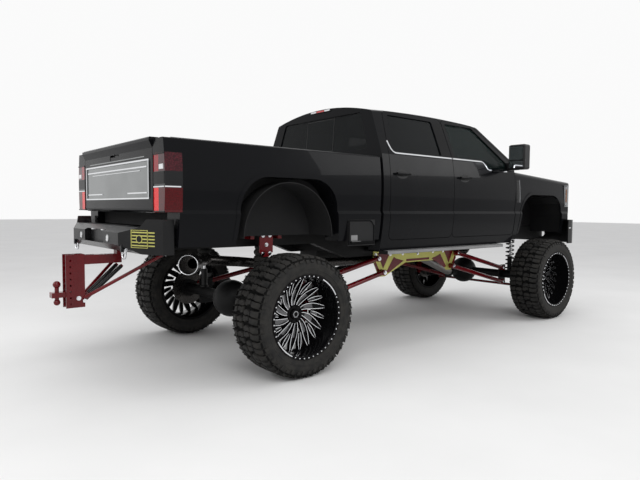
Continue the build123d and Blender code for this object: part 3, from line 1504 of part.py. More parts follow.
# Steering knuckles: a barrel in the fork, a spindle, and an arm to the tie rod
arm_top = TYRE_R - KNUCKLE_H - FORK_T - PANEL_GAP
tie_x = WHEELBASE + ARM_L
for hand_name, hand in (("right", -1), ("left", 1)):
    with BuildPart() as knuckle:
        with BuildSketch(top(TYRE_R - KNUCKLE_H + RUN_GAP)):
            with Locations((WHEELBASE, hand * KINGPIN_Y)):
                Circle(KNUCKLE_R)
        extrude(amount=2 * (KNUCKLE_H - RUN_GAP))
        add(
            rod(
                (WHEELBASE, hand * KINGPIN_Y, TYRE_R),
                (WHEELBASE, hand * (HUB_FACE_Y - FLANGE_DEPTH), TYRE_R),
                AXLE_TUBE_R,
            )
        )
        add(spindle(WHEELBASE, hand))
        low_y, high_y = sorted((hand * ARM_ROOT_Y, hand * (ARM_ROOT_Y + ARM_T)))
        add(
            box_between(
                WHEELBASE - ARM_T, WHEELBASE + ARM_T, low_y, high_y, arm_top - ARM_T, TYRE_R
            )
        )
        with BuildSketch(top(arm_top - ARM_T)):
            with BuildLine():
                Polyline(
                    (WHEELBASE - ARM_T, hand * ARM_ROOT_Y),
                    (WHEELBASE - ARM_T, hand * (ARM_ROOT_Y + ARM_T)),
                    (tie_x + ARM_T, hand * (KINGPIN_Y + ARM_T)),
                    (tie_x + ARM_T, hand * (KINGPIN_Y - ARM_T)),
                    (tie_x - ARM_T, hand * (KINGPIN_Y - ARM_T)),
                    close=True,
                )
            make_face()
            with Locations((tie_x, hand * KINGPIN_Y)):
                Circle(TIE_PIN_R + RUN_GAP, mode=Mode.SUBTRACT)
        extrude(amount=ARM_T)
    save(knuckle, f"knuckle_{hand_name}")

# Tie rod: a tube under the two arms with a pin up through each
with BuildPart() as tie_rod:
    tie_z = arm_top - ARM_T - RUN_GAP - TIE_R
    add(rod((tie_x, -KINGPIN_Y, tie_z), (tie_x, KINGPIN_Y, tie_z), TIE_R * TIE_SLIM))
    for hand in (1, -1):
        with BuildSketch(top(tie_z - TIE_R)):
            with Locations((tie_x, hand * KINGPIN_Y)):
                Circle(TIE_R)
        extrude(amount=2 * TIE_R)
        with BuildSketch(top(tie_z)):
            with Locations((tie_x, hand * KINGPIN_Y)):
                Circle(TIE_PIN_R)
        extrude(amount=TIE_R + ARM_T)
save(tie_rod, "tie_rod")

# Links: four long bars at each axle, from the gusset plates to the axle brackets
with BuildPart() as suspension_links:
    for hand in (1, -1):
        for start, end in LINKS:
            add(rod((start[0], hand * start[1], start[2]), (end[0], hand * end[1], end[2]), LINK_R))
            for x, y, z in (start, end):
                half = LINK_EYE_HALF - SEAT_GAP
                add(rod((x, hand * y - half, z), (x, hand * y + half, z), LINK_EYE_R))
save(suspension_links, "suspension_links")

# Gusset plates: deep outboard plates that carry the links below the frame
with BuildPart() as gusset_plates:
    for low_y in (RAIL_Y + RAIL_W, -RAIL_Y - RAIL_W - GUSSET_T):
        with BuildSketch(side(low_y + GUSSET_T)):
            with BuildLine():
                Polyline(*GUSSET_OUTLINE, close=True)
            make_face()
        extrude(amount=GUSSET_T)
save(gusset_plates, "gusset_plates")

# Engine, gearbox and transfer case as one heavy block on the frame's centre line
with BuildPart() as drivetrain:
    for x_low, x_high, y_low, y_high, z_low, z_high in POWER_BLOCKS:
        add(box_between(x_low, x_high, y_low, y_high, z_low, z_high))
save(drivetrain, "drivetrain")

# Driveshafts: a slanting tube between two straight joints, from each axle to the transfer case
case_rear, case_front = POWER_BLOCKS[-1][:2]
with BuildPart() as driveshafts:
    for pinion, case, across, height in (
        (PINION_END, case_rear, 0, REAR_SHAFT_Z),
        (WHEELBASE - PINION_END, case_front, FRONT_DIFF_Y, FRONT_SHAFT_Z),
    ):
        way = math.copysign(1, case - pinion)
        low = (pinion + way * SHAFT_JOINT_L, across, TYRE_R)
        high = (case - way * SHAFT_JOINT_L, across, height)
        add(rod((pinion + way * SEAT_GAP, across, TYRE_R), low, SHAFT_R))
        add(rod(low, high, SHAFT_R))
        add(rod(high, (case - way * SEAT_GAP, across, height), SHAFT_R))
save(driveshafts, "driveshafts")

with BuildPart() as fuel_tank:
    add(box_between(*TANK_BOX))
    fillet(fuel_tank.edges().filter_by(Axis.X), radius=TANK_R)
save(fuel_tank, "fuel_tank")

# Air springs and dampers between the rear axle and the frame, coils at the front
with BuildPart() as springs:
    for station, across, low_z, high_z, radius in SPRINGS:
        for hand in (1, -1):
            add(rod((station, hand * across, low_z), (station, hand * across, high_z), radius))
save(springs, "springs")

# Spring towers: a hoop over each rear spring, with a clipped plate that hangs outboard
with BuildPart() as spring_towers:
    for low_y in (RAIL_Y + RAIL_W + SEAT_GAP, -TOWER_OUT_Y):
        depth = TOWER_OUT_Y - RAIL_Y - RAIL_W - SEAT_GAP
        with BuildSketch(side(low_y + depth)):
            with Locations((TOWER_X, TOWER_Z)):
                Circle(TOWER_R)
                Circle(TOWER_R - TOWER_W, mode=Mode.SUBTRACT)
                with Locations((0, -TOWER_R)):
                    Rectangle(3 * TOWER_R, 2 * TOWER_R, mode=Mode.SUBTRACT)
        extrude(amount=depth)
    for low_y in (TOWER_OUT_Y - GUSSET_T, -TOWER_OUT_Y):
        with BuildSketch(side(low_y + GUSSET_T)):
            with Locations((TOWER_X, TOWER_PLATE_Z)):
                plate = Rectangle(TOWER_PLATE_W, TOWER_PLATE_H)
            chamfer(plate.vertices(), length=TOWER_PLATE_CUT)
            neck = TOWER_Z + TOWER_R - TOWER_PLATE_Z - TOWER_W / 2
            with Locations((TOWER_X, TOWER_PLATE_Z + neck / 2)):
                Rectangle(TOWER_W, neck)
        extrude(amount=GUSSET_T)
save(spring_towers, "spring_towers")

# Exhaust: one pipe along the right side that ends in a wide open tip
with BuildPart() as exhaust:
    pipe_points = [(REAR_AXLE_X + x, y, z) for x, y, z in EXHAUST_ROUTE]
    with BuildLine() as pipe_line:
        FilletPolyline(*pipe_points, radius=EXHAUST_BEND_R)
    with BuildSketch(Plane(origin=pipe_points[0], z_dir=pipe_line.line % 0)):
        Circle(EXHAUST_R)
        Circle(EXHAUST_R - EXHAUST_T, mode=Mode.SUBTRACT)
    sweep(path=pipe_line.line)
    with BuildSketch(Plane(origin=pipe_line.line @ 1, z_dir=pipe_line.line % 1)):
        Circle(TIP_R)
        Circle(EXHAUST_R - EXHAUST_T, mode=Mode.SUBTRACT)
    extrude(amount=EXHAUST_T)
    with BuildSketch(Plane(origin=pipe_line.line @ 1, z_dir=pipe_line.line % 1)):
        Circle(TIP_R)
        Circle(TIP_R - EXHAUST_T, mode=Mode.SUBTRACT)
    extrude(amount=TIP_L)
save(exhaust, "exhaust")

# Running boards on brackets, and the folded steps ahead of the rear wheels
with BuildPart() as running_boards:
    for hand in (1, -1):
        low_y, high_y = sorted((hand * BOARD_IN_Y, hand * BOARD_OUT_Y))
        add(box_between(BOARD_REAR, BOARD_FRONT, low_y, high_y, BOARD_Z, BOARD_Z + BOARD_T))
        low_y, high_y = sorted((hand * (RAIL_Y + RAIL_W), hand * BOARD_IN_Y))
        for station in BOARD_BRACKETS:
            add(
                box_between(
                    station - BOARD_T, station + BOARD_T, low_y, high_y, BOARD_Z, BOARD_Z + BOARD_T
                )
            )
save(running_boards, "running_boards")

with BuildPart() as bed_steps:
    for hand in (1, -1):
        low_y, high_y = sorted((hand * STEP_IN_Y, hand * (SIDE_Y - LENS_GAP)))
        add(
            box_between(
                STEP_REAR + LENS_GAP,
                STEP_FRONT - LENS_GAP,
                low_y,
                high_y,
                STEP_LOW_Z,
                STEP_HIGH_Z - LENS_GAP,
            )
        )
save(bed_steps, "bed_steps")

# Drop hitch: a receiver under the bumper, a drilled upright channel and two tow balls
with BuildPart() as drop_hitch:
    tube_top = RECEIVER_Z + 2 * RECEIVER_HALF
    for rear, high_z in ((CHANNEL_FRONT, tube_top), (RECEIVER_FRONT - HANGER_L, CROSS_MEMBERS[0][1])):
        add(
            box_between(
                rear, RECEIVER_FRONT, -RECEIVER_HALF, RECEIVER_HALF, RECEIVER_Z, high_z
            )
        )
    add(
        box_between(
            CHANNEL_REAR, CHANNEL_FRONT, -CHANNEL_HALF, CHANNEL_HALF, CHANNEL_LOW_Z, CHANNEL_HIGH_Z
        )
    )
    add(
        box_between(
            CHANNEL_REAR - CHANNEL_T,
            CHANNEL_FRONT - CHANNEL_T,
            CHANNEL_T - CHANNEL_HALF,
            CHANNEL_HALF - CHANNEL_T,
            CHANNEL_LOW_Z - CHANNEL_T,
            CHANNEL_HIGH_Z + CHANNEL_T,
        ),
        mode=Mode.SUBTRACT,
    )
    add(
        box_between(
            HITCH_TIP,
            CHANNEL_FRONT,
            -BALL_PLATE_HALF,
            BALL_PLATE_HALF,
            BALL_PLATE_Z,
            BALL_PLATE_Z + BALL_PLATE_T,
        )
    )
    with BuildSketch(top(LOWER_BALL_Z)):
        with Locations((BALL_X, 0)):
            Circle(BALL_NECK_R)
    extrude(amount=UPPER_BALL_Z - LOWER_BALL_Z)
    with Locations((REAR_AXLE_X + BALL_X, 0, UPPER_BALL_Z)):
        Sphere(UPPER_BALL_R)
    with Locations((REAR_AXLE_X + BALL_X, 0, LOWER_BALL_Z)):
        Sphere(LOWER_BALL_R)
    for start, end in HITCH_STRUTS:
        for hand in (1, -1):
            add(rod((start[0], hand * start[1], start[2]), (end[0], hand * end[1], end[2]), STRUT_R))
    with BuildSketch(side(SIDE_Y)):
        with Locations(*[(HOLE_X, HOLE_Z + i * HOLE_PITCH) for i in range(HOLE_COUNT)]):
            Circle(HOLE_R)
    extrude(amount=2 * SIDE_Y, mode=Mode.SUBTRACT)
save(drop_hitch, "drop_hitch")

# Seats, dashboard and steering wheel
with BuildPart() as front_seats:
    for across in (SEAT_Y, -SEAT_Y):
        for x_low, x_high, half, z_low, z_high in FRONT_SEAT_BLOCKS:
            add(box_between(x_low, x_high, across - half, across + half, z_low, z_high))
save(front_seats, "front_seats")

with BuildPart() as rear_seat:
    for x_low, x_high, half, z_low, z_high in REAR_SEAT_BLOCKS:
        add(box_between(x_low, x_high, -half, half, z_low, z_high))
save(rear_seat, "rear_seat")

wheel_tilt = math.radians(STEER_TILT_DEG)
wheel_axis = (-math.cos(wheel_tilt), 0, math.sin(wheel_tilt))


def column_point(distance):
    """A point on the steering column's axis, below the steering wheel."""
    return (STEER_X - distance * wheel_axis[0], SEAT_Y, STEER_Z - distance * wheel_axis[2])


with BuildPart() as dashboard:
    with BuildSketch(side()):
        with BuildLine():
            Polyline(*DASH_OUTLINE, close=True)
        make_face()
    extrude(amount=DASH_HALF, both=True)
    add(rod(column_point(STEER_COLUMN_L + SEAT_GAP), column_point(STEER_HOUSING_L), STEER_HOUSING_R))
save(dashboard, "dashboard")

with BuildPart() as steering_wheel:
    hub_plane = Plane(origin=(REAR_AXLE_X + STEER_X, SEAT_Y, STEER_Z), z_dir=wheel_axis)
    with BuildSketch(hub_plane):
        Circle(STEER_R)
        Circle(STEER_R - 2 * STEER_RIM_R, mode=Mode.SUBTRACT)
        Rectangle(2 * (STEER_R - STEER_RIM_R), STEER_HUB_R)
        Circle(STEER_HUB_R)
    extrude(amount=2 * STEER_RIM_R)
    with BuildSketch(hub_plane):
        Circle(STEER_COLUMN_R)
    extrude(amount=-STEER_COLUMN_L)
save(steering_wheel, "steering_wheel")

# Door mirrors on two arms, wide for towing
for hand_name, hand in (("right", -1), ("left", 1)):
    with BuildPart() as mirror_piece:
        low_y, high_y = sorted((hand * MIRROR_IN_Y, hand * MIRROR_OUT_Y))
        add(box_between(MIRROR_REAR, MIRROR_FRONT, low_y, high_y, MIRROR_LOW_Z, MIRROR_HIGH_Z))
        fillet(mirror_piece.edges(), radius=MIRROR_R)
        root_x = (MIRROR_ROOT_REAR + MIRROR_ROOT_FRONT) / 2
        for height in MIRROR_ARM_HEIGHTS:
            root = (root_x, hand * (MIRROR_ROOT_Y - MIRROR_ARM_R), height)
            add(rod(root, (MIRROR_FRONT - MIRROR_R, hand * (MIRROR_IN_Y + MIRROR_R), height), MIRROR_ARM_R))
        add(
            box_between(
                MIRROR_ROOT_REAR,
                MIRROR_ROOT_FRONT,
                *sorted((hand * SILL_INNER_Y, hand * MIRROR_ROOT_Y)),
                MIRROR_ROOT_LOW_Z,
                MIRROR_ROOT_HIGH_Z,
            )
        )
        add(cab_outer, mode=Mode.SUBTRACT)
    save(mirror_piece, f"mirror_{hand_name}")
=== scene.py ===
import math

import bmesh
import bpy
from mathutils import Matrix, Vector


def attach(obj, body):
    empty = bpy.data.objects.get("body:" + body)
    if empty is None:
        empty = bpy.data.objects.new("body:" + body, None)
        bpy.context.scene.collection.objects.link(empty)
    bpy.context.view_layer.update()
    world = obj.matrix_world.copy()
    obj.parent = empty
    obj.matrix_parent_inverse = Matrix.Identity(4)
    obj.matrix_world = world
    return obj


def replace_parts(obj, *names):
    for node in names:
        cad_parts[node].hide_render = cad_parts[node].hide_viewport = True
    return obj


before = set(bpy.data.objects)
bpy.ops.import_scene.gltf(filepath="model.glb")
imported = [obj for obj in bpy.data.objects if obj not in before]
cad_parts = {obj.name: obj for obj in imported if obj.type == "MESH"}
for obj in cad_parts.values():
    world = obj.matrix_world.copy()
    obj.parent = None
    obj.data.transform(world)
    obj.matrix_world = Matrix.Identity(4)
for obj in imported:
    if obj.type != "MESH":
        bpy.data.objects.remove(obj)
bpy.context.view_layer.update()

# Sizes shared with the frame: REAR_AXLE_X and TYRE_R are in metres, the others in millimetres
REAR_AXLE_X = -1.6915
FRONT_AXLE = 4060
TRACK_HALF = 1025
HUB_Z = 508
TYRE_R = HUB_Z / 1000
HANDS = (("left", 1), ("right", -1))
AXLES = (("front", FRONT_AXLE), ("rear", 0))

# Camera at the photograph's angle: place in metres; yaw, pitch and roll in degrees
CAMERA_AT = (-4.4525, -4.688, 1.394)
CAMERA_TURN = (50.352, -3.291, 0.428)
camera_data = bpy.data.cameras.new("camera")
camera_data.sensor_width = 36.0
camera_data.lens = 31.02
camera = bpy.data.objects.new("camera", camera_data)
bpy.context.scene.collection.objects.link(camera)
yaw, pitch, roll = (math.radians(a) for a in CAMERA_TURN)
ahead = Vector((math.cos(yaw) * math.cos(pitch), math.sin(yaw) * math.cos(pitch), math.sin(pitch)))
right = Vector((math.sin(yaw), -math.cos(yaw), 0.0))
up = right.cross(ahead)
right_rolled = right * math.cos(roll) + up * math.sin(roll)
up_rolled = up * math.cos(roll) - right * math.sin(roll)
camera.matrix_world = Matrix((
    *((right_rolled[k], up_rolled[k], -ahead[k], CAMERA_AT[k]) for k in range(3)),
    (0, 0, 0, 1),
))
bpy.context.scene.camera = camera


# Finishes: each is built from object coordinates, so it rides with its piece
class Finish:
    """A material being built: its nodes, links and shader."""

    def __init__(self, name, base, roughness=0.5, metallic=0.0, **sockets):
        self.material = bpy.data.materials.new(name)
        self.material.use_nodes = True
        self.tree = self.material.node_tree
        self.shader = self.tree.nodes["Principled BSDF"]
        self.coords = self.tree.nodes.new("ShaderNodeTexCoord").outputs["Object"]
        self.set("Base Color", (*base, 1.0))
        self.set("Roughness", roughness)
        self.set("Metallic", metallic)
        for key, value in sockets.items():
            self.set(key.replace("_", " "), value)
        self.material.diffuse_color = (*base, 1.0)

    def set(self, socket, value):
        self.shader.inputs[socket].default_value = value

    def link(self, output, socket):
        self.tree.links.new(output, socket if hasattr(socket, "links") else self.shader.inputs[socket])

    def feed(self, value, socket):
        """Sets a number or a colour, or links an output."""
        if isinstance(value, (int, float)):
            socket.default_value = value
        elif isinstance(value, tuple):
            socket.default_value = (*value, 1.0)
        else:
            self.link(value, socket)

    def node(self, kind, **inputs):
        n = self.tree.nodes.new(kind)
        for key, value in inputs.items():
            n.inputs[key.replace("_", " ")].default_value = value
        return n

    def noise(self, scale, detail=4.0, rough=0.55):
        n = self.node("ShaderNodeTexNoise", Scale=scale, Detail=detail, Roughness=rough)
        self.link(self.coords, n.inputs["Vector"])
        return n.outputs["Fac"]

    def cells(self, scale, feature="F1"):
        n = self.node("ShaderNodeTexVoronoi", Scale=scale)
        n.feature = feature
        self.link(self.coords, n.inputs["Vector"])
        return n.outputs["Distance"]

    def ramp(self, fac, *stops):
        """A colour between two (position, colour) stops."""
        n = self.tree.nodes.new("ShaderNodeValToRGB")
        for element, (position, colour) in zip(n.color_ramp.elements, stops):
            element.position = position
            element.color = (*colour, 1.0)
        self.link(fac, n.inputs["Fac"])
        return n.outputs["Color"]

    def grey(self, fac, low, high, start=0.3, end=0.7):
        n = self.node("ShaderNodeMapRange", From_Min=start, From_Max=end, To_Min=low, To_Max=high)
        self.link(fac, n.inputs["Value"])
        return n.outputs["Result"]

    def bump(self, height, strength, distance):
        n = self.node("ShaderNodeBump", Strength=strength, Distance=distance)
        self.link(height, n.inputs["Height"])
        self.link(n.outputs["Normal"], "Normal")

    def maths(self, kind, a, b=0.0):
        n = self.tree.nodes.new("ShaderNodeMath")
        n.operation = kind
        for value, socket in zip((a, b), n.inputs):
            self.feed(value, socket)
        return n.outputs[0]

    def axis(self, letter):
        n = self.tree.nodes.new("ShaderNodeSeparateXYZ")
        self.link(self.coords, n.inputs[0])
        return n.outputs[letter]

    def mix(self, fac, a, b):
        n = self.tree.nodes.new("ShaderNodeMix")
        n.data_type = "RGBA"
        for value, socket in ((fac, 0), (a, 6), (b, 7)):
            self.feed(value, n.inputs[socket])
        return n.outputs[2]


def scaled(colour, share):
    return tuple(min(1.0, c * share) for c in colour)


def varied(name, base, roughness, metallic=0.0, tone=0.25, grain=60.0, rough_span=0.08, bump=0.0, **sockets):
    """A finish whose colour and gloss drift gently over the surface, with an optional fine grain."""
    f = Finish(name, base, roughness, metallic, **sockets)
    broad = f.noise(3.0, 3.0)
    f.link(f.ramp(broad, (0.3, scaled(base, 1 - tone)), (0.7, scaled(base, 1 + tone))), "Base Color")
    fine = f.noise(grain, 5.0)
    f.link(f.grey(fine, max(0.02, roughness - rough_span), min(1.0, roughness + rough_span)), "Roughness")
    if bump:
        f.bump(fine, bump, 0.001)
    return f.material


def gloss_paint(name, base):
    """Black lacquer: a thin clear coat over a base with faint flake and orange peel."""
    f = Finish(
        name, base, 0.20, 0.0,
        Coat_Weight=0.36, Coat_Roughness=0.02, Coat_IOR=1.22, Specular_IOR_Level=0.04,
    )
    f.link(f.ramp(f.cells(900.0), (0.0, scaled(base, 1.8)), (0.35, base)), "Base Color")
    peel = f.noise(55.0, 2.0)
    f.link(f.grey(f.noise(5.0, 4.0), 0.16, 0.26), "Roughness")
    f.bump(peel, 0.02, 0.0006)
    return f.material


PAINT = gloss_paint("body_paint", (0.0045, 0.0047, 0.0056))
GLOSS_BLACK = gloss_paint("gloss_black_trim", (0.003, 0.003, 0.0034))
RED_COAT = varied(
    "red_coating", (0.125, 0.0022, 0.0050), 0.24, 0.0, 0.25, 80.0, 0.06, 0.03,
    Specular_IOR_Level=0.2, Coat_Weight=0.5, Coat_Roughness=0.06, Coat_IOR=1.35,
)
BLACK_STEEL = varied(
    "black_steel", (0.0065, 0.0065, 0.007), 0.34, 0.0, 0.3, 150.0, 0.08, 0.08,
    Specular_IOR_Level=0.16, Coat_Weight=0.25, Coat_Roughness=0.2, Coat_IOR=1.3,
)
FRAME_BLACK = varied(
    "frame_coating", (0.006, 0.006, 0.0062), 0.5, 0.0, 0.35, 120.0, 0.1, 0.12, Specular_IOR_Level=0.18,
)
GOLD = varied("gold_coating", (0.50, 0.48, 0.13), 0.38, 0.45, 0.15, 90.0, 0.06, 0.03)
CHROME = varied("chrome", (0.75, 0.76, 0.78), 0.07, 1.0, 0.04, 120.0, 0.03)
SATIN = varied("satin_metal", (0.25, 0.26, 0.26), 0.20, 1.0, 0.10, 200.0, 0.05)
POCKET_METAL = varied("pocket_metal", (0.13, 0.13, 0.135), 0.3, 1.0, 0.2, 120.0, 0.08)
MILLED = varied("milled_aluminium", (0.74, 0.75, 0.77), 0.2, 1.0, 0.06, 300.0, 0.06)
STEEL = varied("bare_steel", (0.32, 0.31, 0.30), 0.38, 1.0, 0.2, 90.0, 0.1, 0.05)
DARK_PIPE = varied("dark_pipe", (0.05, 0.047, 0.045), 0.3, 0.9, 0.3, 60.0, 0.1, 0.03)
LINING = varied(
    "bed_lining", (0.012, 0.012, 0.0125), 0.75, 0.0, 0.2, 260.0, 0.1, 0.6, Specular_IOR_Level=0.25,
)
GREY_STEP = varied("grey_step", (0.20, 0.20, 0.20), 0.6, 0.0, 0.15, 320.0, 0.1, 0.4)
PLASTIC = varied(
    "cabin_plastic", (0.016, 0.016, 0.0175), 0.55, 0.0, 0.15, 400.0, 0.06, 0.25, Specular_IOR_Level=0.3,
)
TRIM = varied(
    "black_trim", (0.008, 0.008, 0.0085), 0.42, 0.0, 0.15, 350.0, 0.06, 0.15, Specular_IOR_Level=0.22,
)


def leather(name, base):
    """Seat leather with a fine cellular grain."""
    f = Finish(name, base, 0.45, 0.0, Sheen_Weight=0.1)
    grain = f.cells(420.0, "DISTANCE_TO_EDGE")
    f.link(f.ramp(f.noise(7.0, 3.0), (0.3, scaled(base, 0.75)), (0.7, scaled(base, 1.3))), "Base Color")
    f.link(f.grey(grain, 0.56, 0.40, 0.0, 0.2), "Roughness")
    f.bump(grain, 0.35, 0.0006)
    return f.material


SEAT = leather("seat_leather", (0.028, 0.026, 0.025))


def rubber():
    """Tyre rubber: charcoal with patches of dry dust."""
    f = Finish("tyre_rubber", (0.014, 0.014, 0.014), 0.75, 0.0, Specular_IOR_Level=0.22)
    dust = f.noise(14.0, 6.0, 0.6)
    f.link(f.ramp(dust, (0.35, (0.010, 0.010, 0.010)), (0.75, (0.034, 0.032, 0.029))), "Base Color")
    fine = f.noise(380.0, 3.0)
    f.link(f.grey(dust, 0.62, 0.85), "Roughness")
    f.bump(fine, 0.25, 0.0008)
    return f.material


RUBBER = rubber()
# The grooves' floor: rubber darker and duller than the tyre's own, as painted shade in the tread's recesses
GROOVE_SHADE_RUBBER = varied(
    "groove_painted_shade", (0.004, 0.004, 0.004), 0.9, 0.0, 0.2, 60.0, 0.06, 0.1, Specular_IOR_Level=0.1,
)


def tinted(name, tint, alpha):
    """Tinted glass: mostly dark, lets a little through, with a clear reflection."""
    roughness = 0.03
    f = Finish(name, tint, roughness, 0.0, Specular_IOR_Level=0.10)
    f.link(f.ramp(f.noise(2.0, 2.0), (0.3, tint), (0.7, scaled(tint, 1.4))), "Base Color")
    f.set("Alpha", alpha)
    f.link(f.grey(f.noise(9.0, 3.0), roughness * 0.7, roughness * 2.2), "Roughness")
    return f.material


GLASS = tinted("dark_glass", (0.004, 0.005, 0.0055), 0.90)
SCREEN_GLASS = tinted("screen_glass", (0.005, 0.006, 0.0065), 0.86)
FRONT_GLASS = tinted("front_glass", (0.012, 0.020, 0.019), 0.32)
CLEAR = tinted("clear_lens", (0.06, 0.065, 0.07), 0.55)
MIRROR = varied("mirror_glass", (0.8, 0.82, 0.85), 0.02, 1.0, 0.02, 50.0, 0.01)


def lens(name, dark, bright, glow):
    """A ribbed lamp lens with a faint glow."""
    f = Finish(name, bright, 0.12, 0.0, Coat_Weight=1.0, Coat_Roughness=0.02, Transmission_Weight=0.15)
    ribs = f.node("ShaderNodeTexWave", Scale=45.0, Distortion=0.0, Detail=0.0)
    ribs.bands_direction = "Z"
    f.link(f.coords, ribs.inputs["Vector"])
    f.link(f.ramp(ribs.outputs["Fac"], (0.0, dark), (0.8, bright)), "Base Color")
    f.bump(ribs.outputs["Fac"], 0.15, 0.001)
    f.set("Emission Color", (*bright, 1.0))
    f.set("Emission Strength", glow)
    return f.material


RED_LENS = lens("red_lens", (0.22, 0.0, 0.004), (0.62, 0.01, 0.012), 0.12)
WHITE_LENS = lens("white_lens", (0.5, 0.5, 0.5), (0.85, 0.86, 0.88), 0.1)
AMBER_LENS = lens("amber_lens", (0.5, 0.16, 0.0), (0.9, 0.32, 0.02), 0.1)


# Mesh helpers
def around(count, turn=2 * math.pi):
    """Angles spread evenly from nought up to, but not at, a turn."""
    return [turn * i / count for i in range(count)]


def smooth_by_angle(piece, degrees):
    """Smooth shading, kept sharp at edges past an angle."""
    mesh = piece.data
    for p in mesh.polygons:
        p.use_smooth = True
    limit = math.cos(math.radians(degrees))
    bm = bmesh.new()
    bm.from_mesh(mesh)
    for e in bm.edges:
        e.smooth = len(e.link_faces) == 2 and e.link_faces[0].normal.dot(e.link_faces[1].normal) > limit
    bm.to_mesh(mesh)
    bm.free()


def place(name, verts, faces, finish, smooth=None, body="chassis", marks=None):
    """A mesh piece in the row frame that rides on a body. Marks pick faces' finishes from a list."""
    mesh = bpy.data.meshes.new(name)
    mesh.from_pydata([tuple(v) for v in verts], [], faces)
    finishes = finish if isinstance(finish, list) else [finish]
    for material in finishes:
        mesh.materials.append(material)
    if len(finishes) > 1:
        mesh.polygons.foreach_set("material_index", marks)
    mesh.update()
    bm = bmesh.new()
    bm.from_mesh(mesh)
    bmesh.ops.remove_doubles(bm, verts=bm.verts, dist=1e-6)
    bmesh.ops.recalc_face_normals(bm, faces=bm.faces)
    bm.to_mesh(mesh)
    bm.free()
    piece = bpy.data.objects.new(name, mesh)
    bpy.context.scene.collection.objects.link(piece)
    if smooth:
        smooth_by_angle(piece, smooth)
    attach(piece, body)
    return piece

class Build:
    """Collects vertices and faces of one piece from simple forms."""

    def __init__(self):
        self.verts, self.faces, self.marks = [], [], []

    def add(self, verts, faces, mark=0):
        base = len(self.verts)
        self.verts += [Vector(v) for v in verts]
        self.faces += [[base + i for i in f] for f in faces]
        self.marks += [mark] * len(faces)

    def box(self, low, high, mark=0):
        (a, b, c), (d, e, f) = low, high
        v = [(x, y, z) for z in (c, f) for y in (b, e) for x in (a, d)]
        q = [(0, 2, 3, 1), (4, 5, 7, 6), (0, 1, 5, 4), (2, 6, 7, 3), (0, 4, 6, 2), (1, 3, 7, 5)]
        self.add(v, q, mark)

    def prism(self, outline, offset, mark=0):
        """A flat outline of 3-D points carried along an offset."""
        n = len(outline)
        off = Vector(offset)
        v = [Vector(p) for p in outline] + [Vector(p) + off for p in outline]
        q = [list(range(n))[::-1], list(range(n, 2 * n))]
        q += [(i, (i + 1) % n, n + (i + 1) % n, n + i) for i in range(n)]
        self.add(v, q, mark)

    def rod(self, start, end, radius, sides=16, mark=0, end_radius=None):
        a, b = Vector(start), Vector(end)
        z = (b - a).normalized()
        x = z.orthogonal().normalized()
        y = z.cross(x)
        v = [
            p + x * (r * math.cos(t)) + y * (r * math.sin(t))
            for p, r in ((a, radius), (b, radius if end_radius is None else end_radius))
            for t in around(sides)
        ]
        q = [list(range(sides))[::-1], list(range(sides, 2 * sides))]
        q += [(i, (i + 1) % sides, sides + (i + 1) % sides, sides + i) for i in range(sides)]
        self.add(v, q, mark)

    def ring(self, centre, axis, section, sides=32, mark=0):
        """A closed section of (along axis, radius) points turned about an axis."""
        c, z = Vector(centre), Vector(axis).normalized()
        x = z.orthogonal().normalized()
        y = z.cross(x)
        n = len(section)
        v = [
            c + z * a + (x * math.cos(t) + y * math.sin(t)) * r
            for t in around(sides)
            for a, r in section
        ]
        q = [
            (i * n + k, i * n + (k + 1) % n, (i + 1) % sides * n + (k + 1) % n, (i + 1) % sides * n + k)
            for i in range(sides)
            for k in range(n)
        ]
        self.add(v, q, mark)

    def place(self, name, finish, slot, smooth=None, body="chassis"):
        return place(name, self.verts, self.faces, finish, smooth, body, self.marks)


def at(station, across, height):
    """A point from its station ahead of the rear axle, across and height, in millimetres."""
    return Vector((REAR_AXLE_X + station / 1000, across / 1000, height / 1000))


# Wheels: each is made once for the left side about its own centre, outboard along +Y
def polar(across, radius, angle):
    return (radius * math.cos(angle), across, radius * math.sin(angle))


LUG_DEPTH = 0.017
PITCHES = 25
TREAD_FLAT, SHOULDER_RUN, SHOULDER_DROP = 0.110, 0.068, 0.008
TREAD_HALF, EDGE_RUN, EDGE_DROP = 0.178, 0.009, 0.038


def tread_radius(a):
    """The outside radius of the tread at a distance from its middle."""
    b = abs(a)
    if b <= TREAD_FLAT:
        return TYRE_R
    if b <= TREAD_HALF:
        return TYRE_R - SHOULDER_DROP * (b - TREAD_FLAT) / SHOULDER_RUN
    return TYRE_R - SHOULDER_DROP - EDGE_DROP * (b - TREAD_HALF) / EDGE_RUN


def lug(build, outline, low):
    """A tread block from (across, along) points in metres, along the tread's run."""
    draft = 0.0025
    n = len(outline)
    ca = sum(p[0] for p in outline) / n
    cs = sum(p[1] for p in outline) / n

    def shifted(a, s, grow):
        d = math.hypot(a - ca, s - cs)
        k = 1 + grow / d
        return ca + (a - ca) * k, cs + (s - cs) * k

    rings = []
    for grow, drop in ((draft, low), (0.0, 0.002), (-0.002, 0.0)):
        ring = []
        for a, s in outline:
            ga, gs = shifted(a, s, grow)
            ring.append(polar(ga, tread_radius(ga) - drop, gs / TYRE_R))
        rings.append(ring)
    verts = [v for ring in rings for v in ring]
    faces = [
        (k * n + i, k * n + (i + 1) % n, (k + 1) * n + (i + 1) % n, (k + 1) * n + i)
        for k in (0, 1)
        for i in range(n)
    ]
    faces.append(list(range(2 * n, 3 * n)))
    build.add(verts, faces)


